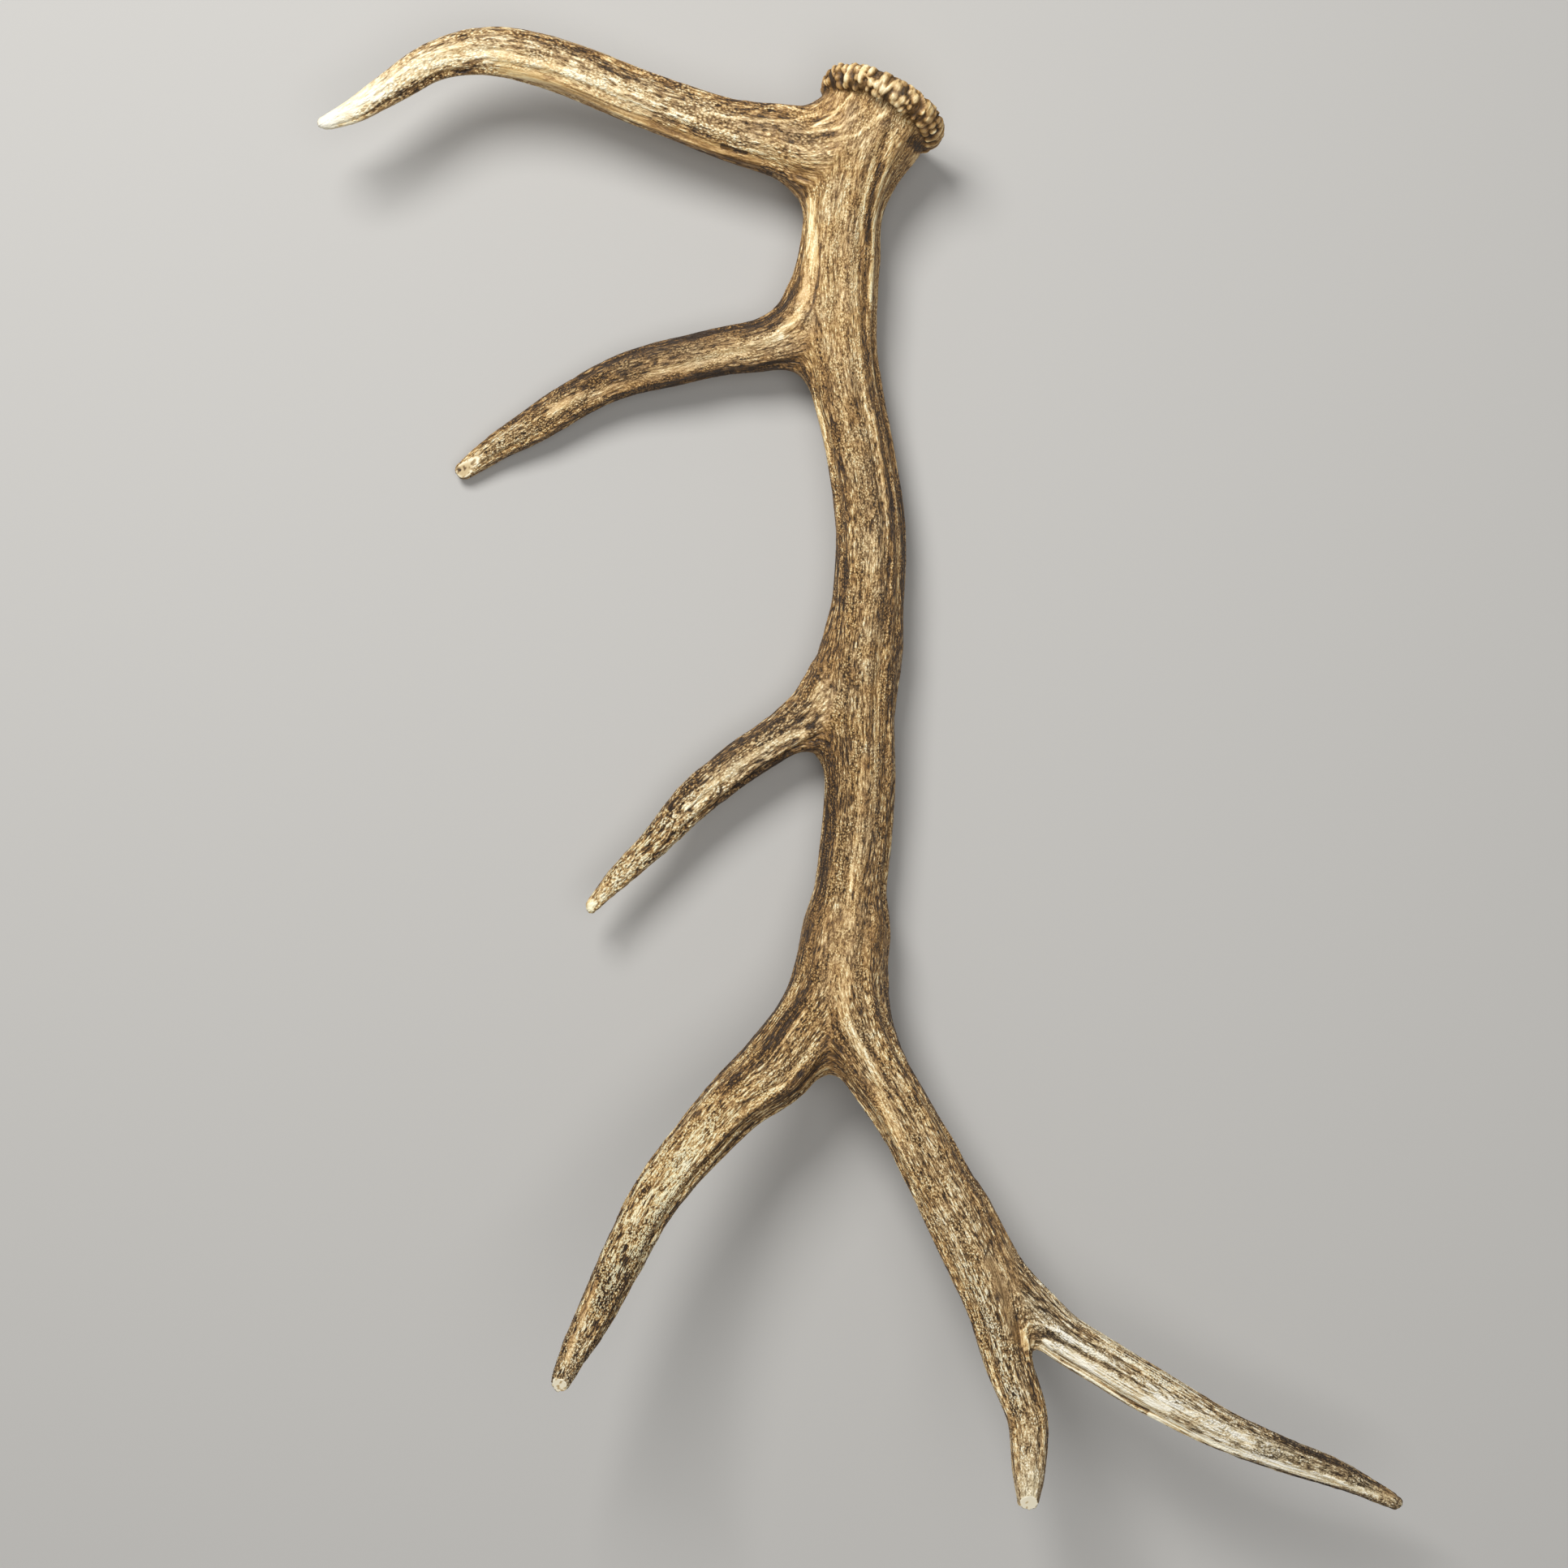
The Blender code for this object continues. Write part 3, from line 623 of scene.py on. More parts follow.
# ---------------------------------------------------------------- how the colour runs
# Sap and dirt stain the bone brown, and rubbing on trees polishes it pale again, most of all toward
# the tips. The strength of the grains and the lines, and the hue, change along each branch too. The
# sides of each branch are made darker, partly by sap and partly as painted shade, and their tops
# greyer, partly with a painted sheen.
VALUE_FADE, VALUE_FARTHEST = 5.0, 60.0  # mm off a branch, where what is set along it counts less
PALENESS = {
    # branch: place along it in mm, and how pale it is there, from 0 to 1
    "beam": ((0, 0.57), (60, 0.565), (120, 0.59), (180, 0.62), (230, 0.54), (281, 0.48),
             (331, 0.44), (382, 0.435), (432, 0.44), (483, 0.47), (533, 0.455), (583, 0.455),
             (634, 0.465), (686, 0.475), (726, 0.49), (787, 0.50), (851, 0.51), (911, 0.55),
             (958, 0.53), (1006, 0.57), (1049, 0.58), (1088, 0.70), (1114, 0.72)),
    "brow": ((0, 0.54), (117, 0.55), (196, 0.62), (273, 0.63), (309, 0.66), (347, 0.72), (389, 0.75),
             (424, 0.85), (446, 0.92)),
    "bez": ((0, 0.54), (64, 0.49), (121, 0.43), (160, 0.38), (199, 0.38), (241, 0.44), (278, 0.49),
            (315, 0.63), (345, 0.75)),
    "trez": ((0, 0.49), (62, 0.49), (104, 0.475), (141, 0.49), (184, 0.60), (225, 0.74), (264, 0.82),
             (295, 0.88)),
    "royal": ((0, 0.48), (117, 0.48), (159, 0.55), (204, 0.70), (256, 0.76), (306, 0.66), (353, 0.57),
              (394, 0.56), (413, 0.62)),
    "surroyal": ((0, 0.50), (87, 0.56), (124, 0.78), (153, 0.85), (202, 0.76), (258, 0.63),
                 (312, 0.47), (359, 0.38), (405, 0.46)),
}
GRAININESS = {
    # branch: place along it in mm, and how strongly the grains and fissures show there
    "beam": ((0, 0.7), (179, 0.75), (281, 1.0), (583, 1.15), (686, 1.2), (911, 1.2), (1006, 1.3),
             (1075, 1.1), (1102, 0.55)),
    "brow": ((0, 0.75), (78, 0.9), (157, 1.05), (309, 0.95), (389, 0.9), (424, 0.6)),
    "bez": ((0, 0.9), (160, 0.85), (241, 1.3), (330, 1.2)),
    "trez": ((0, 1.1), (141, 1.2), (225, 2.0), (290, 1.2)),
    "royal": ((0, 1.15), (204, 1.2), (306, 1.8), (394, 1.8)),
    "surroyal": ((0, 1.2), (202, 1.1), (359, 1.2)),
}
LINED = {
    # branch: place along it in mm, and how strongly the long wales stand out there
    "beam": ((0, 1.2), (100, 0.9), (180, 0.7), (331, 0.75), (583, 0.85), (686, 0.9), (851, 1.0),
             (1006, 1.0), (1114, 0.6)),
    "brow": ((0, 0.8), (117, 0.7), (235, 0.5), (347, 0.3), (446, 0.2)),
    "bez": ((0, 0.9), (121, 0.5), (345, 0.3)),
    "trez": ((0, 0.9), (141, 0.5), (295, 0.3)),
    "royal": ((0, 1.3), (204, 1.1), (306, 0.8), (413, 0.5)),
    "surroyal": ((0, 1.5), (202, 1.4), (312, 1.0), (405, 0.5)),
}
GREYNESS = {
    # branch: place along it in mm, and its hue there, from golden brown at 0 to grey at 1
    "beam": ((0, 0.18), (120, 0.25), (281, 0.30), (583, 0.28), (686, 0.28), (851, 0.32), (958, 0.42),
             (1070, 0.5), (1095, 0.85), (1114, 1.0)),
    "brow": ((0, 0.3), (196, 0.45), (309, 0.45), (424, 0.7), (446, 0.9)),
    "bez": ((0, 0.35), (160, 0.4), (278, 0.25), (345, 0.4)),
    "trez": ((0, 0.35), (141, 0.6), (225, 0.2), (295, 0.3)),
    "royal": ((0, 0.25), (204, 0.05), (353, 0.15), (413, 0.5)),
    "surroyal": ((0, 0.6), (124, 0.85), (202, 0.8), (312, 1.0), (405, 0.7)),
}
# branch: how much darker its sides are than its top, partly sap and dirt left there and partly
# painted shade where the sides turn away from the lamps above
SAP_AND_SHADE = {"beam": 0.10, "brow": 0.05, "bez": 0.22, "trez": 0.18, "royal": 0.12, "surroyal": 0.10}
TOP_LINED, SIDE_LINED = 0.6, 0.45  # of the lines' strength on top, and what the sides add to it
FORK_PLAIN = 0.55  # the share of the lines that is lost in a fork
# the sides are less grey than the tops: the grey on the tops is partly a painted sheen of the lamps
# above, and the brown on the sides partly sap
BROWNER, TOP_SHEEN_SIDE_SAP, FLAT_GREYNESS = 0.1, 0.35, 0.6  # less grey all over and on the sides


def along_branches(table):
    """A value that changes along each branch as the table says. Where branches join, the nearer
    counts more."""
    total, weight = 0.0, 0.0
    for name, rows in table.items():
        distance, _, along, _, _ = places[name]
        where, value = zip(*rows)
        near = counted(distance, VALUE_FADE, VALUE_FARTHEST)
        total = total + near * np.interp(along, where, value)
        weight = weight + near
    return total / weight


# how far each point is on the side of its branch: 0 on its top and 1 on its side
distances, angles = zip(*((place[0], place[3]) for place in places.values()))
near = counted(distances, VALUE_FADE, VALUE_FARTHEST)
side_share = (near * np.abs(np.cos(angles))).sum(0) / near.sum(0)
side_share = smoothstep(0.35, 0.9, side_share)

lined = along_branches(LINED) * (TOP_LINED + SIDE_LINED * side_share) * bare
lined = lined * (1 - FORK_PLAIN * fork_share) * (1 - on_flat)
# grey rises toward the top of each branch, partly as a painted sheen
greyness_and_sheen = along_branches(GREYNESS) - BROWNER - TOP_SHEEN_SIDE_SAP * side_share + 0.2 * patches
greyness_and_sheen = np.clip(greyness_and_sheen + on_flat * (FLAT_GREYNESS - greyness_and_sheen), 0, 1)

# the darker sides, part sap and part painted shade, are taken off the tone
sap_and_shade = along_branches({name: ((0, dark), (1, dark)) for name, dark in SAP_AND_SHADE.items()})
tone = along_branches(PALENESS) - sap_and_shade * side_share
tone = tone + on_flat * (flat_tone - tone)
grain_left = along_branches(GRAININESS) * (1 - on_flat)

# ---------------------------------------------------------------- strokes: what sets stretches apart
# Rubbing on trees polished some stretches cream and left brown sap in others, and some of the pale
# strokes are in part painted highlights, the glossy sheen of the lamps along the tops. Each stroke is
# a line on the plan of the antler, seen from straight above, with its half width and what it does
# there.
EYE = np.array([-55.3, -15.5, 2300.0])  # mm, where the plan is seen from
PLAN_LEVEL = 55.0  # mm, the height at which the plan is true to size
RAGGED_EDGE = 1.6  # mm, how far a stroke's edge wanders at most
# A stroke: a line on the plan, half width, how much paler, how much of the grain is left, and how
# far it stands out, in mm
BURR_STROKES = (
    (((2, 524), (3, 518)), 3.0, 0.2, 0.6, 0.0),
    (((13, 522), (22, 516), (33, 508)), 4.5, 0.12, 1.0, 0.0),
    (((46, 471), (44, 477)), 5.0, -0.35, 0.8, -0.5),
)
BROW_STROKES = (
    (((-406, 491), (-381, 506), (-344, 530), (-307, 543), (-276, 541), (-232, 528), (-195, 512),
      (-164, 498)), 11.0, 0.14, 0.55, 0.0),
    (((-363, 526), (-334, 545), (-308, 556), (-278, 560), (-255, 557), (-220, 547), (-183, 531),
      (-146, 517), (-109, 508), (-65, 503)), 5.0, -0.13, 1.3, 0.0),
    (((-291, 530), (-310, 527), (-331, 520), (-347, 511), (-362, 501), (-374, 495)),
     5.0, -0.22, 1.5, 0.0),
    (((-300, 534), (-287, 537)), 2.0, -0.5, 1.0, -0.3),
    (((-270, 530), (-233, 518), (-193, 503), (-154, 487), (-115, 471), (-76, 458)),
     5.5, 0.06, 0.3, 0.0),
    # partly a painted highlight, the glossy sheen of the lamps along the brow tine, over cream grains
    (((-220, 528), (-180, 517), (-159, 510), (-141, 499), (-122, 488)), 6.0, 0.16, 1.2, 0.0),
    (((-102, 471), (-85, 466)), 2.2, -0.5, 1.0, -0.4),
    (((-122, 498), (-102, 494), (-76, 491), (-50, 492), (-28, 497)), 1.7, 0.25, 0.6, 0.5),
    (((-33, 487), (-19, 495), (-3, 511)), 1.8, 0.28, 0.6, 0.6),
)
NECK_STROKES = (
    # partly a painted highlight, the glossy sheen of the lamps down the beam's neck, over pale bone
    (((-36, 428), (-33, 405), (-33, 383), (-38, 361), (-47, 339), (-58, 330)), 4.8, 0.22, 0.45, 0.0),
    (((-27, 397), (-28, 372), (-34, 348), (-43, 332)), 1.3, -0.35, 0.6, -0.3),
    (((-43, 369), (-50, 354), (-62, 340), (-81, 332)), 4.0, -0.22, 1.0, 0.0),
    (((18, 481), (12, 459), (6, 431), (4, 397)), 1.5, 0.22, 0.6, 0.4),
    (((23, 481), (17, 456), (10, 428), (9, 397)), 1.3, -0.28, 0.8, -0.3),
    (((28, 481), (22, 453), (14, 425), (12, 391), (10, 354)), 1.8, 0.22, 0.6, 0.4),
    (((21, 497), (0, 480), (-28, 475)), 1.6, 0.2, 0.6, 0.4),
    (((7, 501), (-14, 485), (-45, 482)), 1.6, 0.2, 0.6, 0.4),
    (((35, 476), (18, 445), (7, 421)), 1.5, 0.18, 0.6, 0.4),
    (((46, 466), (32, 435), (28, 397)), 1.8, 0.22, 0.6, 0.5),
    (((53, 459), (42, 431), (39, 407)), 1.5, 0.2, 0.6, 0.4),
)
BEAM_STROKES = (
    (((-47, 302), (-39, 291), (-30, 273), (-24, 250), (-20, 229)), 1.8, 0.28, 0.6, 0.5),
    (((-39, 299), (-25, 281), (-16, 250), (-12, 221), (-9, 188), (-11, 147), (-12, 120)),
     5.5, -0.12, 1.1, 0.0),
    (((12, 270), (19, 229), (23, 188), (20, 158)), 1.5, 0.18, 0.6, 0.3),
    (((26, 201), (25, 147), (20, 99)), 1.5, -0.26, 0.8, -0.3),
    (((22, 292), (28, 236), (31, 187), (31, 137), (28, 94)), 1.5, 0.14, 0.7, 0.3),
    (((15, 170), (11, 95), (12, 30), (8, -20), (2, -80), (-4, -120)), 8.0, 0.09, 0.8, 0.0),
    (((19, 100), (16, 30), (12, -30), (7, -75)), 1.5, 0.16, 0.6, 0.3),
    (((14, 75), (10, 20), (5, -40)), 1.3, -0.18, 0.8, -0.3),
    (((25, 75), (22, 15), (17, -45)), 1.5, -0.16, 0.8, -0.3),
    (((5, 5), (0, -55), (-7, -110)), 1.4, 0.16, 0.6, 0.3),
)
BEZ_STROKES = (
    # partly a painted highlight, the glossy sheen of the lamps along the bez tine, over a cream band
    (((-59, 327), (-86, 316), (-102, 312), (-118, 307), (-151, 299), (-167, 292), (-192, 285),
      (-203, 280)), 4.5, 0.24, 0.55, 0.0),
    # a painted highlight, a glint of the lamps toward the bez tine's tip
    (((-233, 268), (-211, 281)), 4.5, 0.28, 0.4, 0.0),
    (((-65, 335), (-109, 326), (-158, 314), (-195, 298), (-226, 283)), 7.0, -0.10, 1.1, 0.0),
    (((-152, 307), (-154, 306)), 1.8, -0.4, 1.0, -0.3),
    (((-306, 225), (-304, 224)), 1.3, -0.6, 1.0, -0.2),
    (((-301, 227), (-300, 225)), 1.1, -0.5, 1.0, -0.2),
    (((-303, 230), (-302, 230)), 0.9, -0.5, 1.0, -0.2),
    (((-310, 223), (-307, 229), (-300, 237)), 1.2, 0.3, 0.4, 0.0),
)
TREZ_STROKES = (
    (((-27, 59), (-28, 44), (-23, 32)), 5.5, 0.16, 0.8, 0.0),
    # partly a painted highlight along the top of the trez tine, partly paler polished bone
    (((-41, 25), (-62, 17), (-89, 0), (-110, -18), (-128, -33)), 4.2, 0.32, 0.45, 0.0),
    (((-62, 33), (-83, 20), (-103, 3), (-124, -15), (-142, -33)), 5.5, -0.12, 1.1, 0.0),
    (((-51, 11), (-34, 10), (-27, 3)), 2.2, 0.18, 0.7, 0.4),
    (((-144, -57), (-147, -60)), 2.2, -0.3, 1.0, 0.0),
    (((-208, -111), (-204, -108)), 6.0, 0.22, 0.3, 0.0),
)
CROWN_STROKES = (
    (((-76, -268), (-51, -245), (-34, -228), (-22, -221), (-8, -227), (8, -250), (18, -275)),
     8.5, 0.12, 0.8, 0.0),
    (((-12, -192), (-22, -204), (-27, -216)), 4.0, -0.04, 1.0, -0.4),
    (((-43, -250), (-34, -238), (-22, -232), (-9, -238), (0, -250)), 1.6, 0.24, 0.6, 0.5),
    (((-50, -244), (-37, -228), (-22, -221), (-6, -228), (4, -241)), 1.4, -0.16, 0.8, -0.3),
    (((-8, -163), (-10, -193), (0, -213), (12, -233), (22, -258), (33, -288)), 5.5, 0.20, 0.6, 0.0),
    (((-39, -164), (-50, -182), (-65, -204), (-81, -223)), 1.6, 0.24, 0.6, 0.7),
    (((-34, -166), (-45, -185), (-60, -208), (-76, -226)), 1.4, -0.2, 0.8, -0.5),
    (((-29, -168), (-40, -189), (-55, -211), (-70, -231)), 1.6, 0.2, 0.6, 0.5),
)
ROYAL_STROKES = (
    (((-149, -316), (-163, -348), (-177, -384)), 1.5, -0.4, 0.8, -0.5),
    (((-109, -266), (-133, -303), (-155, -347), (-171, -384)), 9.0, 0.13, 1.2, 0.0),
    (((-160, -324), (-165, -330)), 3.6, -0.25, 1.0, 0.0),
    (((-176, -375), (-195, -412)), 8.0, -0.08, 1.7, 0.0),
    (((-107, -292), (-126, -320), (-145, -352)), 3.0, -0.15, 1.0, 0.0),
    (((-200, -398), (-212, -428), (-222, -455)), 3.5, 0.08, 0.3, 0.0),
)
LAST_FORK_STROKES = (
    (((84, -380), (99, -416), (112, -453), (124, -496)), 7.0, 0.10, 1.4, 0.0),
    (((102, -380), (114, -410), (125, -438)), 6.0, -0.06, 0.35, -0.3),
    (((130, -447), (127, -434), (132, -427), (139, -428), (154, -433), (190, -455)),
     1.9, 0.4, 0.5, 0.9),
    (((134, -436), (147, -437)), 3.2, -0.4, 0.5, -0.6),
    (((132, -446), (137, -440), (144, -441), (149, -448)), 1.9, 0.35, 0.5, 0.6),
    (((146, -445), (165, -455), (185, -469), (215, -484), (235, -493)), 8.5, 0.30, 0.4, 0.0),
    (((225, -486), (245, -496), (275, -509), (300, -518)), 7.5, 0.24, 0.6, 0.0),
    (((148, -430), (180, -446), (215, -463), (250, -480)), 4.0, -0.08, 1.1, 0.0),
    (((142, -438), (160, -443), (177, -453), (200, -465), (220, -476)), 1.7, -0.45, 0.8, -0.6),
    (((140, -415), (160, -425), (185, -440), (215, -455), (260, -476)), 1.7, -0.4, 0.8, -0.5),
    (((150, -407), (187, -431), (230, -453)), 1.7, 0.25, 0.6, 0.5),
    # a painted highlight, the glossy sheen of the lamps along the lower edge of the surroyal tine
    (((226, -498), (276, -520), (341, -542), (375, -551), (398, -559)), 3.8, 0.42, 0.3, 0.0),
    (((245, -480), (307, -505), (363, -529)), 4.0, -0.12, 1.1, 0.0),
    (((409, -560), (406, -558)), 6.0, 0.12, 0.4, 0.0),
)
STROKES = (BURR_STROKES + BROW_STROKES + NECK_STROKES + BEAM_STROKES + BEZ_STROKES + TREZ_STROKES
           + CROWN_STROKES + ROYAL_STROKES + LAST_FORK_STROKES)

placed = points + shift
nearness = (EYE[2] - PLAN_LEVEL) / (EYE[2] - placed[:, 2])
plan = EYE[:2] + (placed[:, :2] - EYE[:2]) * nearness[:, None]
upper_side = smoothstep(-0.25, 0.15, outward[:, 2])
ragged = streak + 0.5 * patches  # lets the edges of the strokes run with the bone


def stroke(line, half_width, soft=0.5):
    """1 on the line and 0 beyond its half width, on the upper side: the distance to the nearest
    stretch of the line on the plan, eased over the soft part of the width."""
    line = np.array(line, float)
    best = np.full(len(plan), np.inf)
    low, high = line.min(0) - half_width, line.max(0) + half_width
    inside = np.flatnonzero(((plan > low) & (plan < high)).all(1) & (upper_side > 0))
    p = plan[inside]
    for a, b in zip(line[:-1], line[1:]):
        span = b - a
        t = np.clip(((p - a) @ span) / (span @ span), 0, 1)
        best[inside] = np.minimum(best[inside], np.hypot(*(p - a - t[:, None] * span).T))
    best = best + ragged * min(0.35 * half_width, RAGGED_EDGE)
    return smoothstep(half_width, half_width * (1 - soft), best) * upper_side


# the strokes are added to the tone, painted highlights among them
raised = 0.0
for line, half_width, paler, left, rise in STROKES:
    here = stroke(line, half_width)
    tone = tone + paler * here
    grain_left = grain_left * (1 + (left - 1) * here)
    raised = raised + rise * here

# ---------------------------------------------------------------- the finished surface
# The relief and the beads are put on the skin together. The seat has no relief but its pits, and
# what would stand past a flat is taken down to it. Beads are paler toward their tops, some rubbed
# paler still, and darker down between them.
tone = tone + on_burr * (BEAD_PALE * (bead_rise - BEAD_MIDDLE)
                         + BEAD_RUBBED * bead_pale**3 * bead_rise)
grain_left = grain_left * (1 - BEAD_SMOOTH * on_burr)

texture = (GRAIN_PALE * grain + STREAK_PALE * streak - GROOVE_DARK * groove_cut
           + PATCH_PALE * patches)
tone = tone + texture * grain_left + (CREST_PALE * wale_crest - CUT_DARK * wale_cut) * lined
fine_relief = (
    (GRAIN_HEIGHT * grain + STREAK_HEIGHT * streak - GROOVE_DEPTH * groove_cut) * grain_left
    + raised + (CREST_HEIGHT * wale_crest - CUT_DEPTH * wale_cut) * lined)
relief = ridges + BEAD_HEIGHT * bead_rise + (LUMP_HEIGHT * lumps + fine_relief) * (1 - seat_side)
surface = points + relief[:, None] * outward
surface -= PIT_DEPTH * seat_pits[:, None] * unit(BURR_AXIS)
for centre, direction, reach in [(seat_centre, BURR_AXIS, SEAT_REACH)] + [
        (centre, direction, TIP_REACH) for centre, direction, _, _ in TIP_FLATS]:
    surface -= beyond_flat(surface, centre, direction, reach)[:, None] * unit(direction)
surface += shift

# ---------------------------------------------------------------- one bone, parted at its forks
# The antler is one bone, and nothing in it is joined or fixed. Its skin is parted at the main
# forks, on the same planes as the solids, so that each tine can be picked on its own.
CUTS = {
    # a point on the cut and the way the branch runs there
    "brow": ((-72, 480, 46), (-0.97, 0.22, 0.03)),
    "bez": ((-84, 321, 29), (-0.99, -0.13, -0.05)),
    "below_bez": ((5, 238, 28), (0.17, -0.98, 0.0)),
    "trez": ((-75, 9, 30), (-0.81, -0.58, 0.03)),
    "below_trez": ((4, -32, 28), (-0.03, -1.0, 0.02)),
    "royal": ((-69, -236, 75), (-0.66, -0.66, 0.34)),
    "crown": ((33, -258, 74), (0.46, -0.84, 0.27)),
    "surroyal": ((155, -429, 106), (0.83, -0.55, 0.03)),
    "beam_tip": ((117, -454, 121), (0.22, -0.86, 0.46)),
}
BEAM_PARTS = (
    # the cut that a stretch of beam starts from, and its name
    (None, "lower_beam"), ("below_bez", "middle_beam"), ("below_trez", "upper_beam"),
    ("crown", "crown_beam"), ("beam_tip", "beam_tip"),
)
COARSER = {"brow": 1.4, "trez": 1.3}  # how much coarser these tines' grains are
SHEET_APART = 900.0  # mm between the tines' rolled-out sheets, so that their patterns differ
SHEET_MIX = 6.0  # mm either side of where a tine's sheet takes over from the beam's

face_middle = points[faces].mean(1)
face_branch = np.argmin([places[name][0][faces].mean(1) for name in places], axis=0)
branch_number = {name: number for number, name in enumerate(places)}


def beyond_cut(name):
    """Which faces lie past the cut, the way the branch runs."""
    centre, direction = CUTS[name]
    return (face_middle - np.array(centre)) @ unit(direction) > 0


part_of = np.zeros(len(faces), int)
part_names = [name for _, name in BEAM_PARTS]
for number, (cut, _) in enumerate(BEAM_PARTS):
    if cut:
        part_of[beyond_cut(cut)] = number
for name in ("brow", "bez", "trez", "royal", "surroyal"):
    part_of[beyond_cut(name) & (face_branch == branch_number[name])] = len(part_names)
    part_names.append(name + "_tine")


def point_normals(points, faces):
    """Each point's normal: the sum of the normals of its faces, whose lengths are their areas."""
    across = points[faces[:, 2]] - points[faces[:, 0]]
    over = points[faces[:, 3]] - points[faces[:, 1]]
    face_normal = np.cross(across, over)
    total = np.zeros_like(points)
    for corner in range(4):
        for axis in range(3):
            total[:, axis] += np.bincount(faces[:, corner], face_normal[:, axis], len(points))
    return unit(total)


normals = point_normals(surface, faces)


def rim_loops(faces):
    """The open edges of a set of faces, and the loop that each belongs to."""
    edges = np.concatenate([faces[:, [k, (k + 1) % 4]] for k in range(4)])
    low, high = edges.min(1), edges.max(1)
    key = low * (faces.max() + 1) + high
    _, first, count = np.unique(key, return_index=True, return_counts=True)
    rim = edges[first[count == 1]]
    name, at = np.unique(rim, return_inverse=True)
    at = at.reshape(rim.shape)
    loop = np.arange(len(name))
    while True:
        lowest = np.minimum(loop[at[:, 0]], loop[at[:, 1]])
        new = loop.copy()
        np.minimum.at(new, at[:, 0], lowest)
        np.minimum.at(new, at[:, 1], lowest)
        if (new == loop).all():
            return rim, loop[at[:, 0]]
        loop = new


def part_mesh(name, mine, values):
    """One part's faces, with every open rim closed by a fan of triangles round its middle. The skin
    keeps the normals of the whole antler, so that no seam shows."""
    rim, loop = rim_loops(mine)
    used, corner = np.unique(mine, return_inverse=True)
    corner = corner.reshape(-1, 4)
    spots, corner_normals = [surface[used]], [normals[mine.ravel()]]
    held = {key: [value[used]] for key, value in values.items()}
    fans = []
    for each in np.unique(loop):
        edges = rim[loop == each]
        centre = surface[edges[:, 0]].mean(0)
        way = np.cross(surface[edges[:, 1]] - centre, surface[edges[:, 0]] - centre).sum(0)
        number = len(used) + len(spots) - 1
        local = np.searchsorted(used, edges)
        fans += [[b, a, number] for a, b in local.tolist()]
        spots.append(centre[None])
        corner_normals.append(np.repeat(unit(way)[None], 3 * len(edges), 0))
        for key, value in values.items():
            held[key].append(value[edges[:, 0]].mean(0)[None])
    mesh = bpy.data.meshes.new(name)
    mesh.from_pydata(np.concatenate(spots) * MM, [], corner.tolist() + fans)
    for key, value in held.items():
        value = np.concatenate(value).astype(np.float32)
        kind, field = ("FLOAT", "value") if value.ndim == 1 else ("FLOAT_VECTOR", "vector")
        mesh.attributes.new(key, kind, "POINT").data.foreach_set(field, value.ravel())
    mesh.shade_smooth()
    mesh.normals_split_custom_set(np.concatenate(corner_normals))
    return mesh


def rolled_out(name):
    """Place on a branch as if it were straight: round it, on a circle of its size, and along. Where
    the grains are coarser, the places are closer together."""
    _, _, along, angle, _ = places[name]
    size = np.interp(along, branches[name].along, branches[name].half_width)
    coarse = COARSER.get(name, 1.0)
    return np.stack([size * np.cos(angle), size * np.sin(angle), along], 1) / coarse


tines = [name for name in places if name != "beam"]
tine_distance = np.array([places[name][0] for name in tines])
nearest_tine = tine_distance.argmin(0)
row = np.arange(len(points))
tine_sheet = np.array([rolled_out(name) + SHEET_APART * n for n, name in enumerate(tines)])
values = {
    "tone": tone,
    "grain": grain_left,
    "lined": lined,
    "greyness_and_sheen": greyness_and_sheen,
    "beam_sheet": rolled_out("beam"),
    "tine_sheet": tine_sheet[nearest_tine, row],
    "tine_share": smoothstep(-SHEET_MIX, SHEET_MIX, places["beam"][0] - tine_distance.min(0)),
}

# ---------------------------------------------------------------- bone
# Antler bone, rubbed and stained: pale ivory where it is worn, brown where sap and dirt are left in
# the grooves. Worn places have a soft polish and the grooves are dull. Its colour also carries
# painted shade on the sides, painted highlights along some tops and a painted grey sheen.
TONES = (
    # place on the ramp, and the colour there in golden brown bone and in grey bone, the grey one
    # also giving the painted sheen on the tops
    (0.00, "332009", "332614"), (0.18, "5c4018", "55462d"), (0.34, "7f5b2b", "77664a"),
    (0.50, "a57e48", "9e8c6c"), (0.66, "cda76c", "c3b38f"), (0.82, "edd095", "e4d7b6"),
    (1.00, "fff3c8", "fffaec"),
)
# Sizes in mm: across and along. The real grains are about 1 mm, and a little coarser here, to show.
LONG_GRAIN, ROUND_GRAIN, SPECK, FISSURE = (1.6, 6.5), (1.35, 1.9), (0.7, 1.4), (1.6, 6.5)
TURNS = (9.0, 20.0)  # where long grains and round ones take turns
VESSEL_LINE = (1.5, 45.0)
GRAIN_STAIN, LINE_STAIN, FISSURE_STAIN = 0.31, 0.3, -0.28  # how much each colours the bone
SPECK_SHARE = 2.2  # of the fine specks, for one of the grains
GRAIN_MIDDLE = 0.9  # keeps the grains' mean at no stain
BUMP_HEIGHT = 0.5  # mm, of a grain
LINE_HEIGHT, FISSURE_HEIGHT = 0.5, -1.0  # of that of a grain
DULL, POLISHED = 0.62, 0.36  # roughness where the bone is stained and where it is rubbed pale
BONE_IOR = 1.55


def hex_colour(code):
    """An sRGB hex colour as linear red, green, blue and one."""
    value = np.array([int(code[k : k + 2], 16) / 255 for k in (0, 2, 4)])
    linear = np.where(value <= 0.04045, value / 12.92, ((value + 0.055) / 1.055) ** 2.4)
    return (*linear, 1.0)


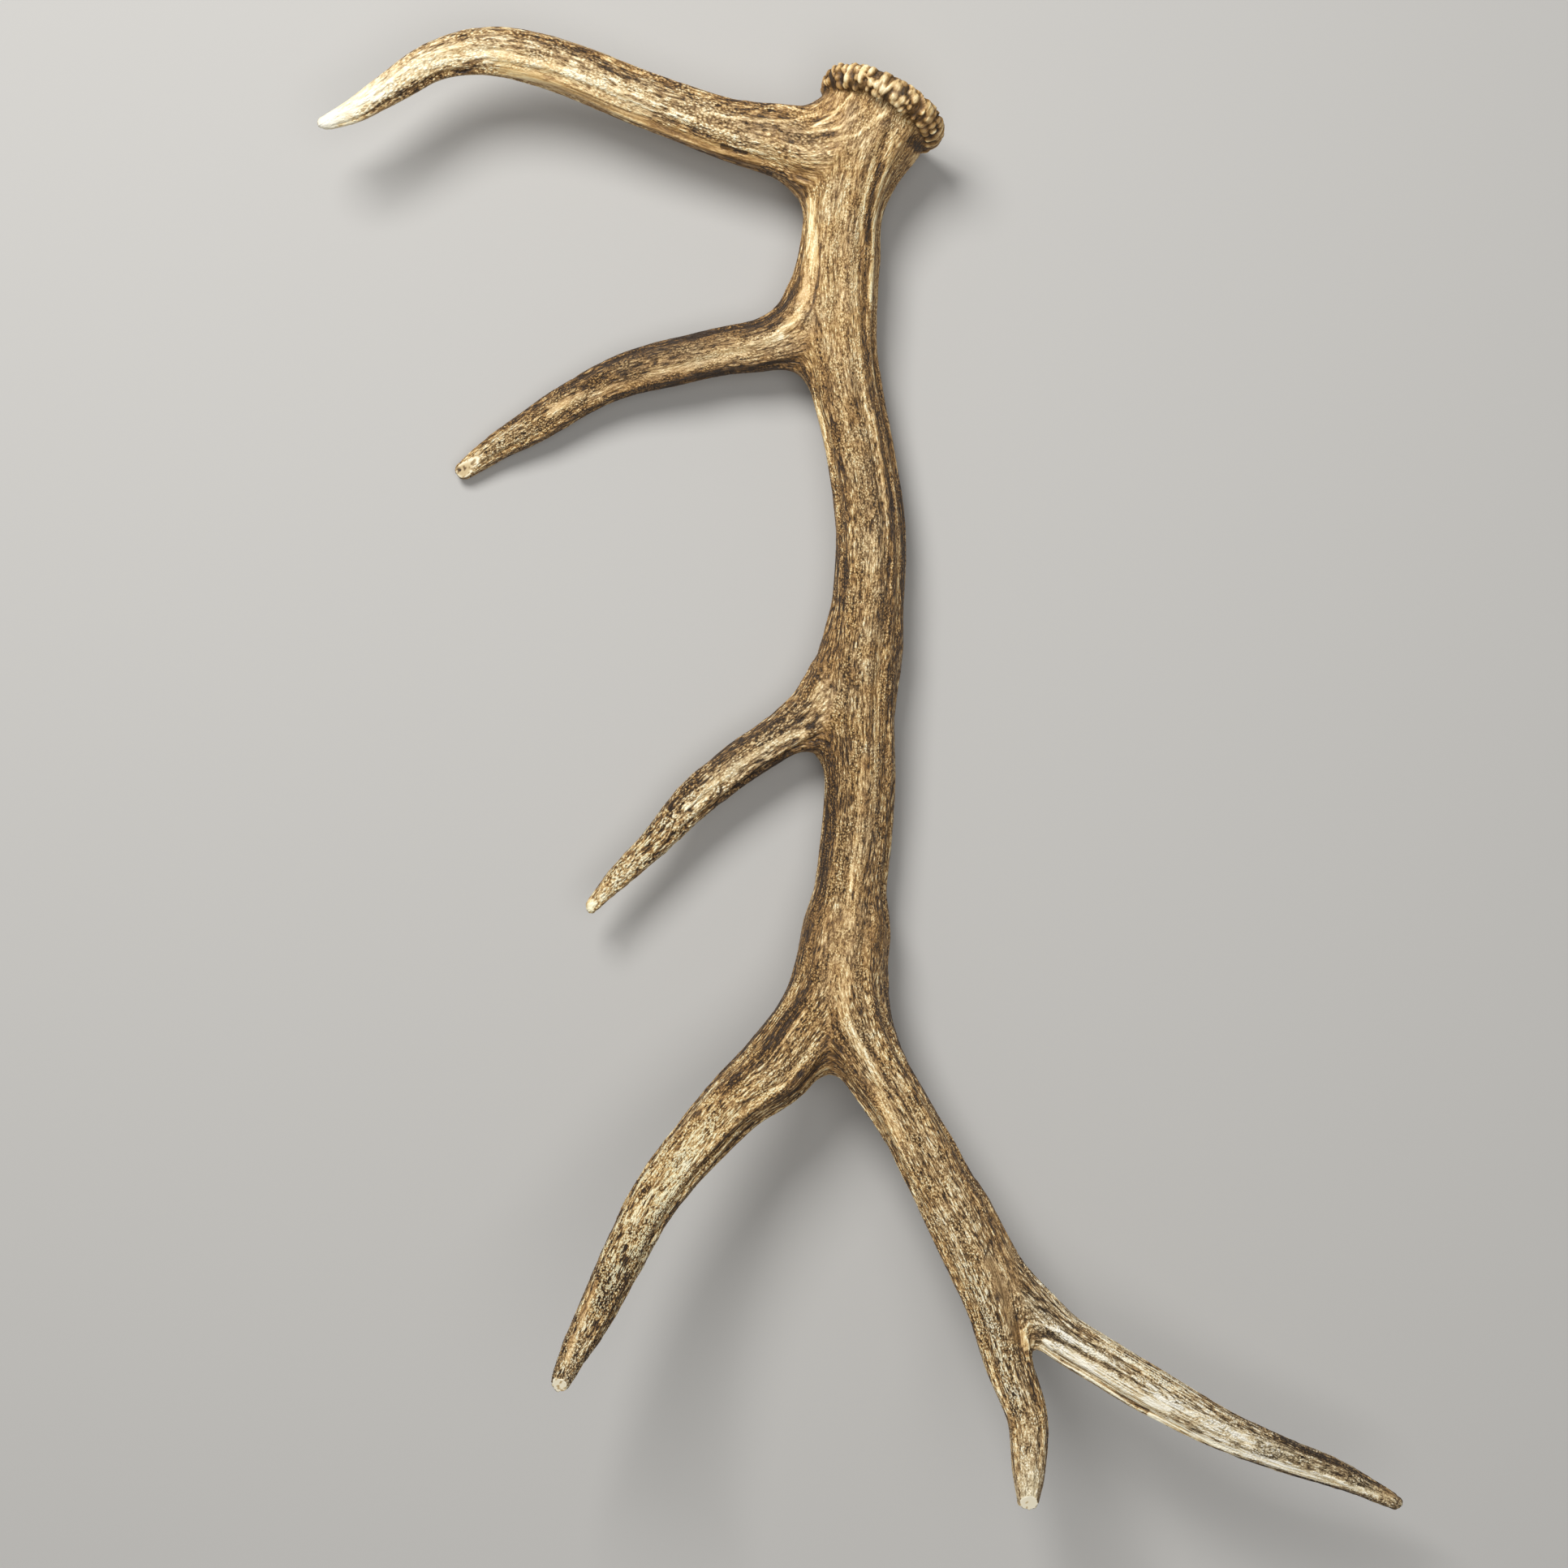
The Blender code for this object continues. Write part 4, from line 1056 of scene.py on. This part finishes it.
def add_node(tree, kind, inputs, output=0, **settings):
    """A node with its settings. Each input has a value or is fed by another node's output. The
    output asked for is returned."""
    node = tree.nodes.new(kind)
    for name, value in settings.items():
        setattr(node, name, value)
    for name, value in inputs.items():
        if isinstance(value, bpy.types.NodeSocket):
            tree.links.new(node.inputs[name], value)
        else:
            node.inputs[name].default_value = value
    return node.outputs[output]


def bone_material():
    """Antler bone: the paleness of each point, with grains, fissures and lines that follow the
    branch, is read on a golden brown ramp and on a grey one, which are mixed by how grey it is. The
    grey ramp also lays a painted sheen on the tops of the branches."""
    material = bpy.data.materials.new("antler_bone")
    material.use_nodes = True
    tree = material.node_tree
    shader = tree.nodes["Principled BSDF"]
    tone, tine_share, grain_left, lined, greyness_and_sheen = (
        add_node(tree, "ShaderNodeAttribute", {}, "Fac", attribute_name=name)
        for name in ("tone", "tine_share", "grain", "lined", "greyness_and_sheen"))
    sheets = [add_node(tree, "ShaderNodeAttribute", {}, "Vector", attribute_name=name)
              for name in ("beam_sheet", "tine_sheet")]

    def drawn_out(kind, size, length, **inputs):
        """A pattern drawn out along the branch, read on the beam's sheet and on the tine's."""
        pattern = []
        for sheet in sheets:
            place = add_node(tree, "ShaderNodeMapping",
                             {"Vector": sheet, "Scale": (1 / size, 1 / size, 1 / length)})
            pattern.append(add_node(tree, kind, {"Vector": place, "Scale": 1.0, **inputs}))
        return add_node(tree, "ShaderNodeMix",
                        {"Factor": tine_share, "A": pattern[0], "B": pattern[1]}, data_type="FLOAT")

    # Bone grains: pale in the middle and dark round the edge, in two shapes that take turns
    long_grain = drawn_out("ShaderNodeTexVoronoi", *LONG_GRAIN)
    round_grain = drawn_out("ShaderNodeTexVoronoi", *ROUND_GRAIN)
    turns = drawn_out("ShaderNodeTexNoise", *TURNS, Detail=1.0)
    turns = add_node(tree, "ShaderNodeMapRange",
                     {"Value": turns, "From Min": 0.42, "From Max": 0.58})
    cells = add_node(tree, "ShaderNodeMix", {"Factor": turns, "A": long_grain, "B": round_grain},
                     data_type="FLOAT")
    speck = drawn_out("ShaderNodeTexNoise", *SPECK, Detail=1.0)
    pattern = add_node(tree, "ShaderNodeMapRange",
                       {"Value": cells, "From Min": 0.15, "From Max": 0.85, "To Min": 1.0,
                        "To Max": -1.0}, clamp=False)
    pattern = add_node(tree, "ShaderNodeMath", {0: speck, 1: SPECK_SHARE, 2: pattern},
                       operation="MULTIPLY_ADD")
    pattern = add_node(tree, "ShaderNodeMath", {0: pattern, 1: GRAIN_MIDDLE}, operation="SUBTRACT")
    pattern = add_node(tree, "ShaderNodeMath", {0: pattern, 1: grain_left}, operation="MULTIPLY")

    # Short dark fissures between the grains
    fissure = drawn_out("ShaderNodeTexNoise", *FISSURE, Detail=1.5, Distortion=0.8)
    fissure = add_node(tree, "ShaderNodeMapRange",
                       {"Value": fissure, "From Min": 0.45, "From Max": 0.36})
    fissure = add_node(tree, "ShaderNodeMath", {0: fissure, 1: grain_left}, operation="MULTIPLY")

    # Long fine lines, the traces of vessels
    ripple = drawn_out("ShaderNodeTexNoise", *VESSEL_LINE, Detail=1.0)
    ripple = add_node(tree, "ShaderNodeMapRange",
                      {"Value": ripple, "From Min": 0.3, "From Max": 0.7, "To Min": -1.0,
                       "To Max": 1.0})
    ripple = add_node(tree, "ShaderNodeMath", {0: ripple, 1: lined}, operation="MULTIPLY")

    stain = tone
    for part, amount in ((pattern, GRAIN_STAIN), (ripple, LINE_STAIN), (fissure, FISSURE_STAIN)):
        stain = add_node(tree, "ShaderNodeMath", {0: part, 1: amount, 2: stain},
                         operation="MULTIPLY_ADD")
    colours = []
    for hue in (1, 2):
        node = add_node(tree, "ShaderNodeValToRGB", {"Fac": stain}).node
        stops = node.color_ramp.elements
        while len(stops) < len(TONES):
            stops.new(0.5)
        for stop, row in zip(stops, TONES):
            stop.position = row[0]
            stop.color = hex_colour(row[hue])
        colours.append(node.outputs["Color"])
    # the mix toward the grey ramp carries grey bone and the painted sheen on the tops
    colour = add_node(tree, "ShaderNodeMix", {0: greyness_and_sheen, 6: colours[0], 7: colours[1]}, 2,
                      data_type="RGBA")
    height = pattern
    for part, amount in ((ripple, LINE_HEIGHT), (fissure, FISSURE_HEIGHT)):
        height = add_node(tree, "ShaderNodeMath", {0: part, 1: amount, 2: height},
                          operation="MULTIPLY_ADD")
    bump = add_node(tree, "ShaderNodeBump",
                    {"Strength": 1.0, "Distance": BUMP_HEIGHT * MM, "Height": height})
    roughness = add_node(tree, "ShaderNodeMapRange",
                         {"Value": stain, "From Min": 0.35, "From Max": 0.8,
                          "To Min": DULL, "To Max": POLISHED})
    tree.links.new(shader.inputs["Roughness"], roughness)
    shader.inputs["IOR"].default_value = BONE_IOR
    tree.links.new(shader.inputs["Base Color"], colour)
    tree.links.new(shader.inputs["Normal"], bump)
    return material


bone = bone_material()
for number, name in enumerate(part_names):
    mesh = part_mesh("skin_" + name, faces[part_of == number], values)
    mesh.materials.append(bone)
    piece = bpy.data.objects.new(mesh.name, mesh)
    bpy.context.scene.collection.objects.link(piece)
    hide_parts(name)
    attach(piece, "root")

# ---------------------------------------------------------------- the floor it lies on
# A wide sheet of pale studio paper, rolled out flat. It is matt, so that it takes soft shadows and
# shows no glare.
FLOOR_SIDE = 12.0  # m
PAPER_COLOUR, PAPER_ROUGHNESS = "b8b6b2", 0.9


def floor_material():
    """Uncoated paper: one pale warm grey, dull from every side."""
    material = bpy.data.materials.new("matt_paper")
    material.use_nodes = True
    shader = material.node_tree.nodes["Principled BSDF"]
    shader.inputs["Base Color"].default_value = hex_colour(PAPER_COLOUR)
    shader.inputs["Roughness"].default_value = PAPER_ROUGHNESS
    return material


half = FLOOR_SIDE / 2
floor_mesh = bpy.data.meshes.new("floor")
floor_mesh.from_pydata([(-half, -half, 0), (half, -half, 0), (half, half, 0), (-half, half, 0)], [],
                       [(0, 1, 2, 3)])
floor_mesh.materials.append(floor_material())
floor = bpy.data.objects.new("floor", floor_mesh)
bpy.context.scene.collection.objects.link(floor)

# ---------------------------------------------------------------- light and camera
# Two round soft lamps: the key over the burr's end and a wide fill above the middle. The camera
# looks straight down on the antler.
LIGHTS = {
    # place and width in metres, power in watts
    "key": ((-1.0, 1.7, 2.4), 1.4, 84.0),
    "fill": ((0.4, -0.5, 3.2), 2.6, 39.0),
}
WORLD_LIGHT = 0.18  # of plain white from all round
CAMERA_LENS, CAMERA_SENSOR = 67.47, 36.0  # mm
CAMERA_FARTHEST = 50.0  # m

for name, (place, width, power) in LIGHTS.items():
    lamp = bpy.data.lights.new(name, "AREA")
    lamp.shape = "DISK"
    lamp.size = width
    lamp.energy = power
    light = bpy.data.objects.new(name, lamp)
    light.location = place
    light.rotation_euler = (-Vector(place)).to_track_quat("-Z", "Y").to_euler()
    bpy.context.scene.collection.objects.link(light)

world = bpy.data.worlds.new("studio")
world.use_nodes = True
world.node_tree.nodes["Background"].inputs["Color"].default_value = (1.0, 1.0, 1.0, 1.0)
world.node_tree.nodes["Background"].inputs["Strength"].default_value = WORLD_LIGHT
bpy.context.scene.world = world

lens = bpy.data.cameras.new("camera")
lens.lens = CAMERA_LENS
lens.sensor_width = CAMERA_SENSOR
lens.clip_end = CAMERA_FARTHEST
camera = bpy.data.objects.new("camera", lens)
camera.location = EYE * MM
bpy.context.scene.collection.objects.link(camera)
bpy.context.scene.camera = camera

bpy.context.scene.view_settings.view_transform = "Standard"
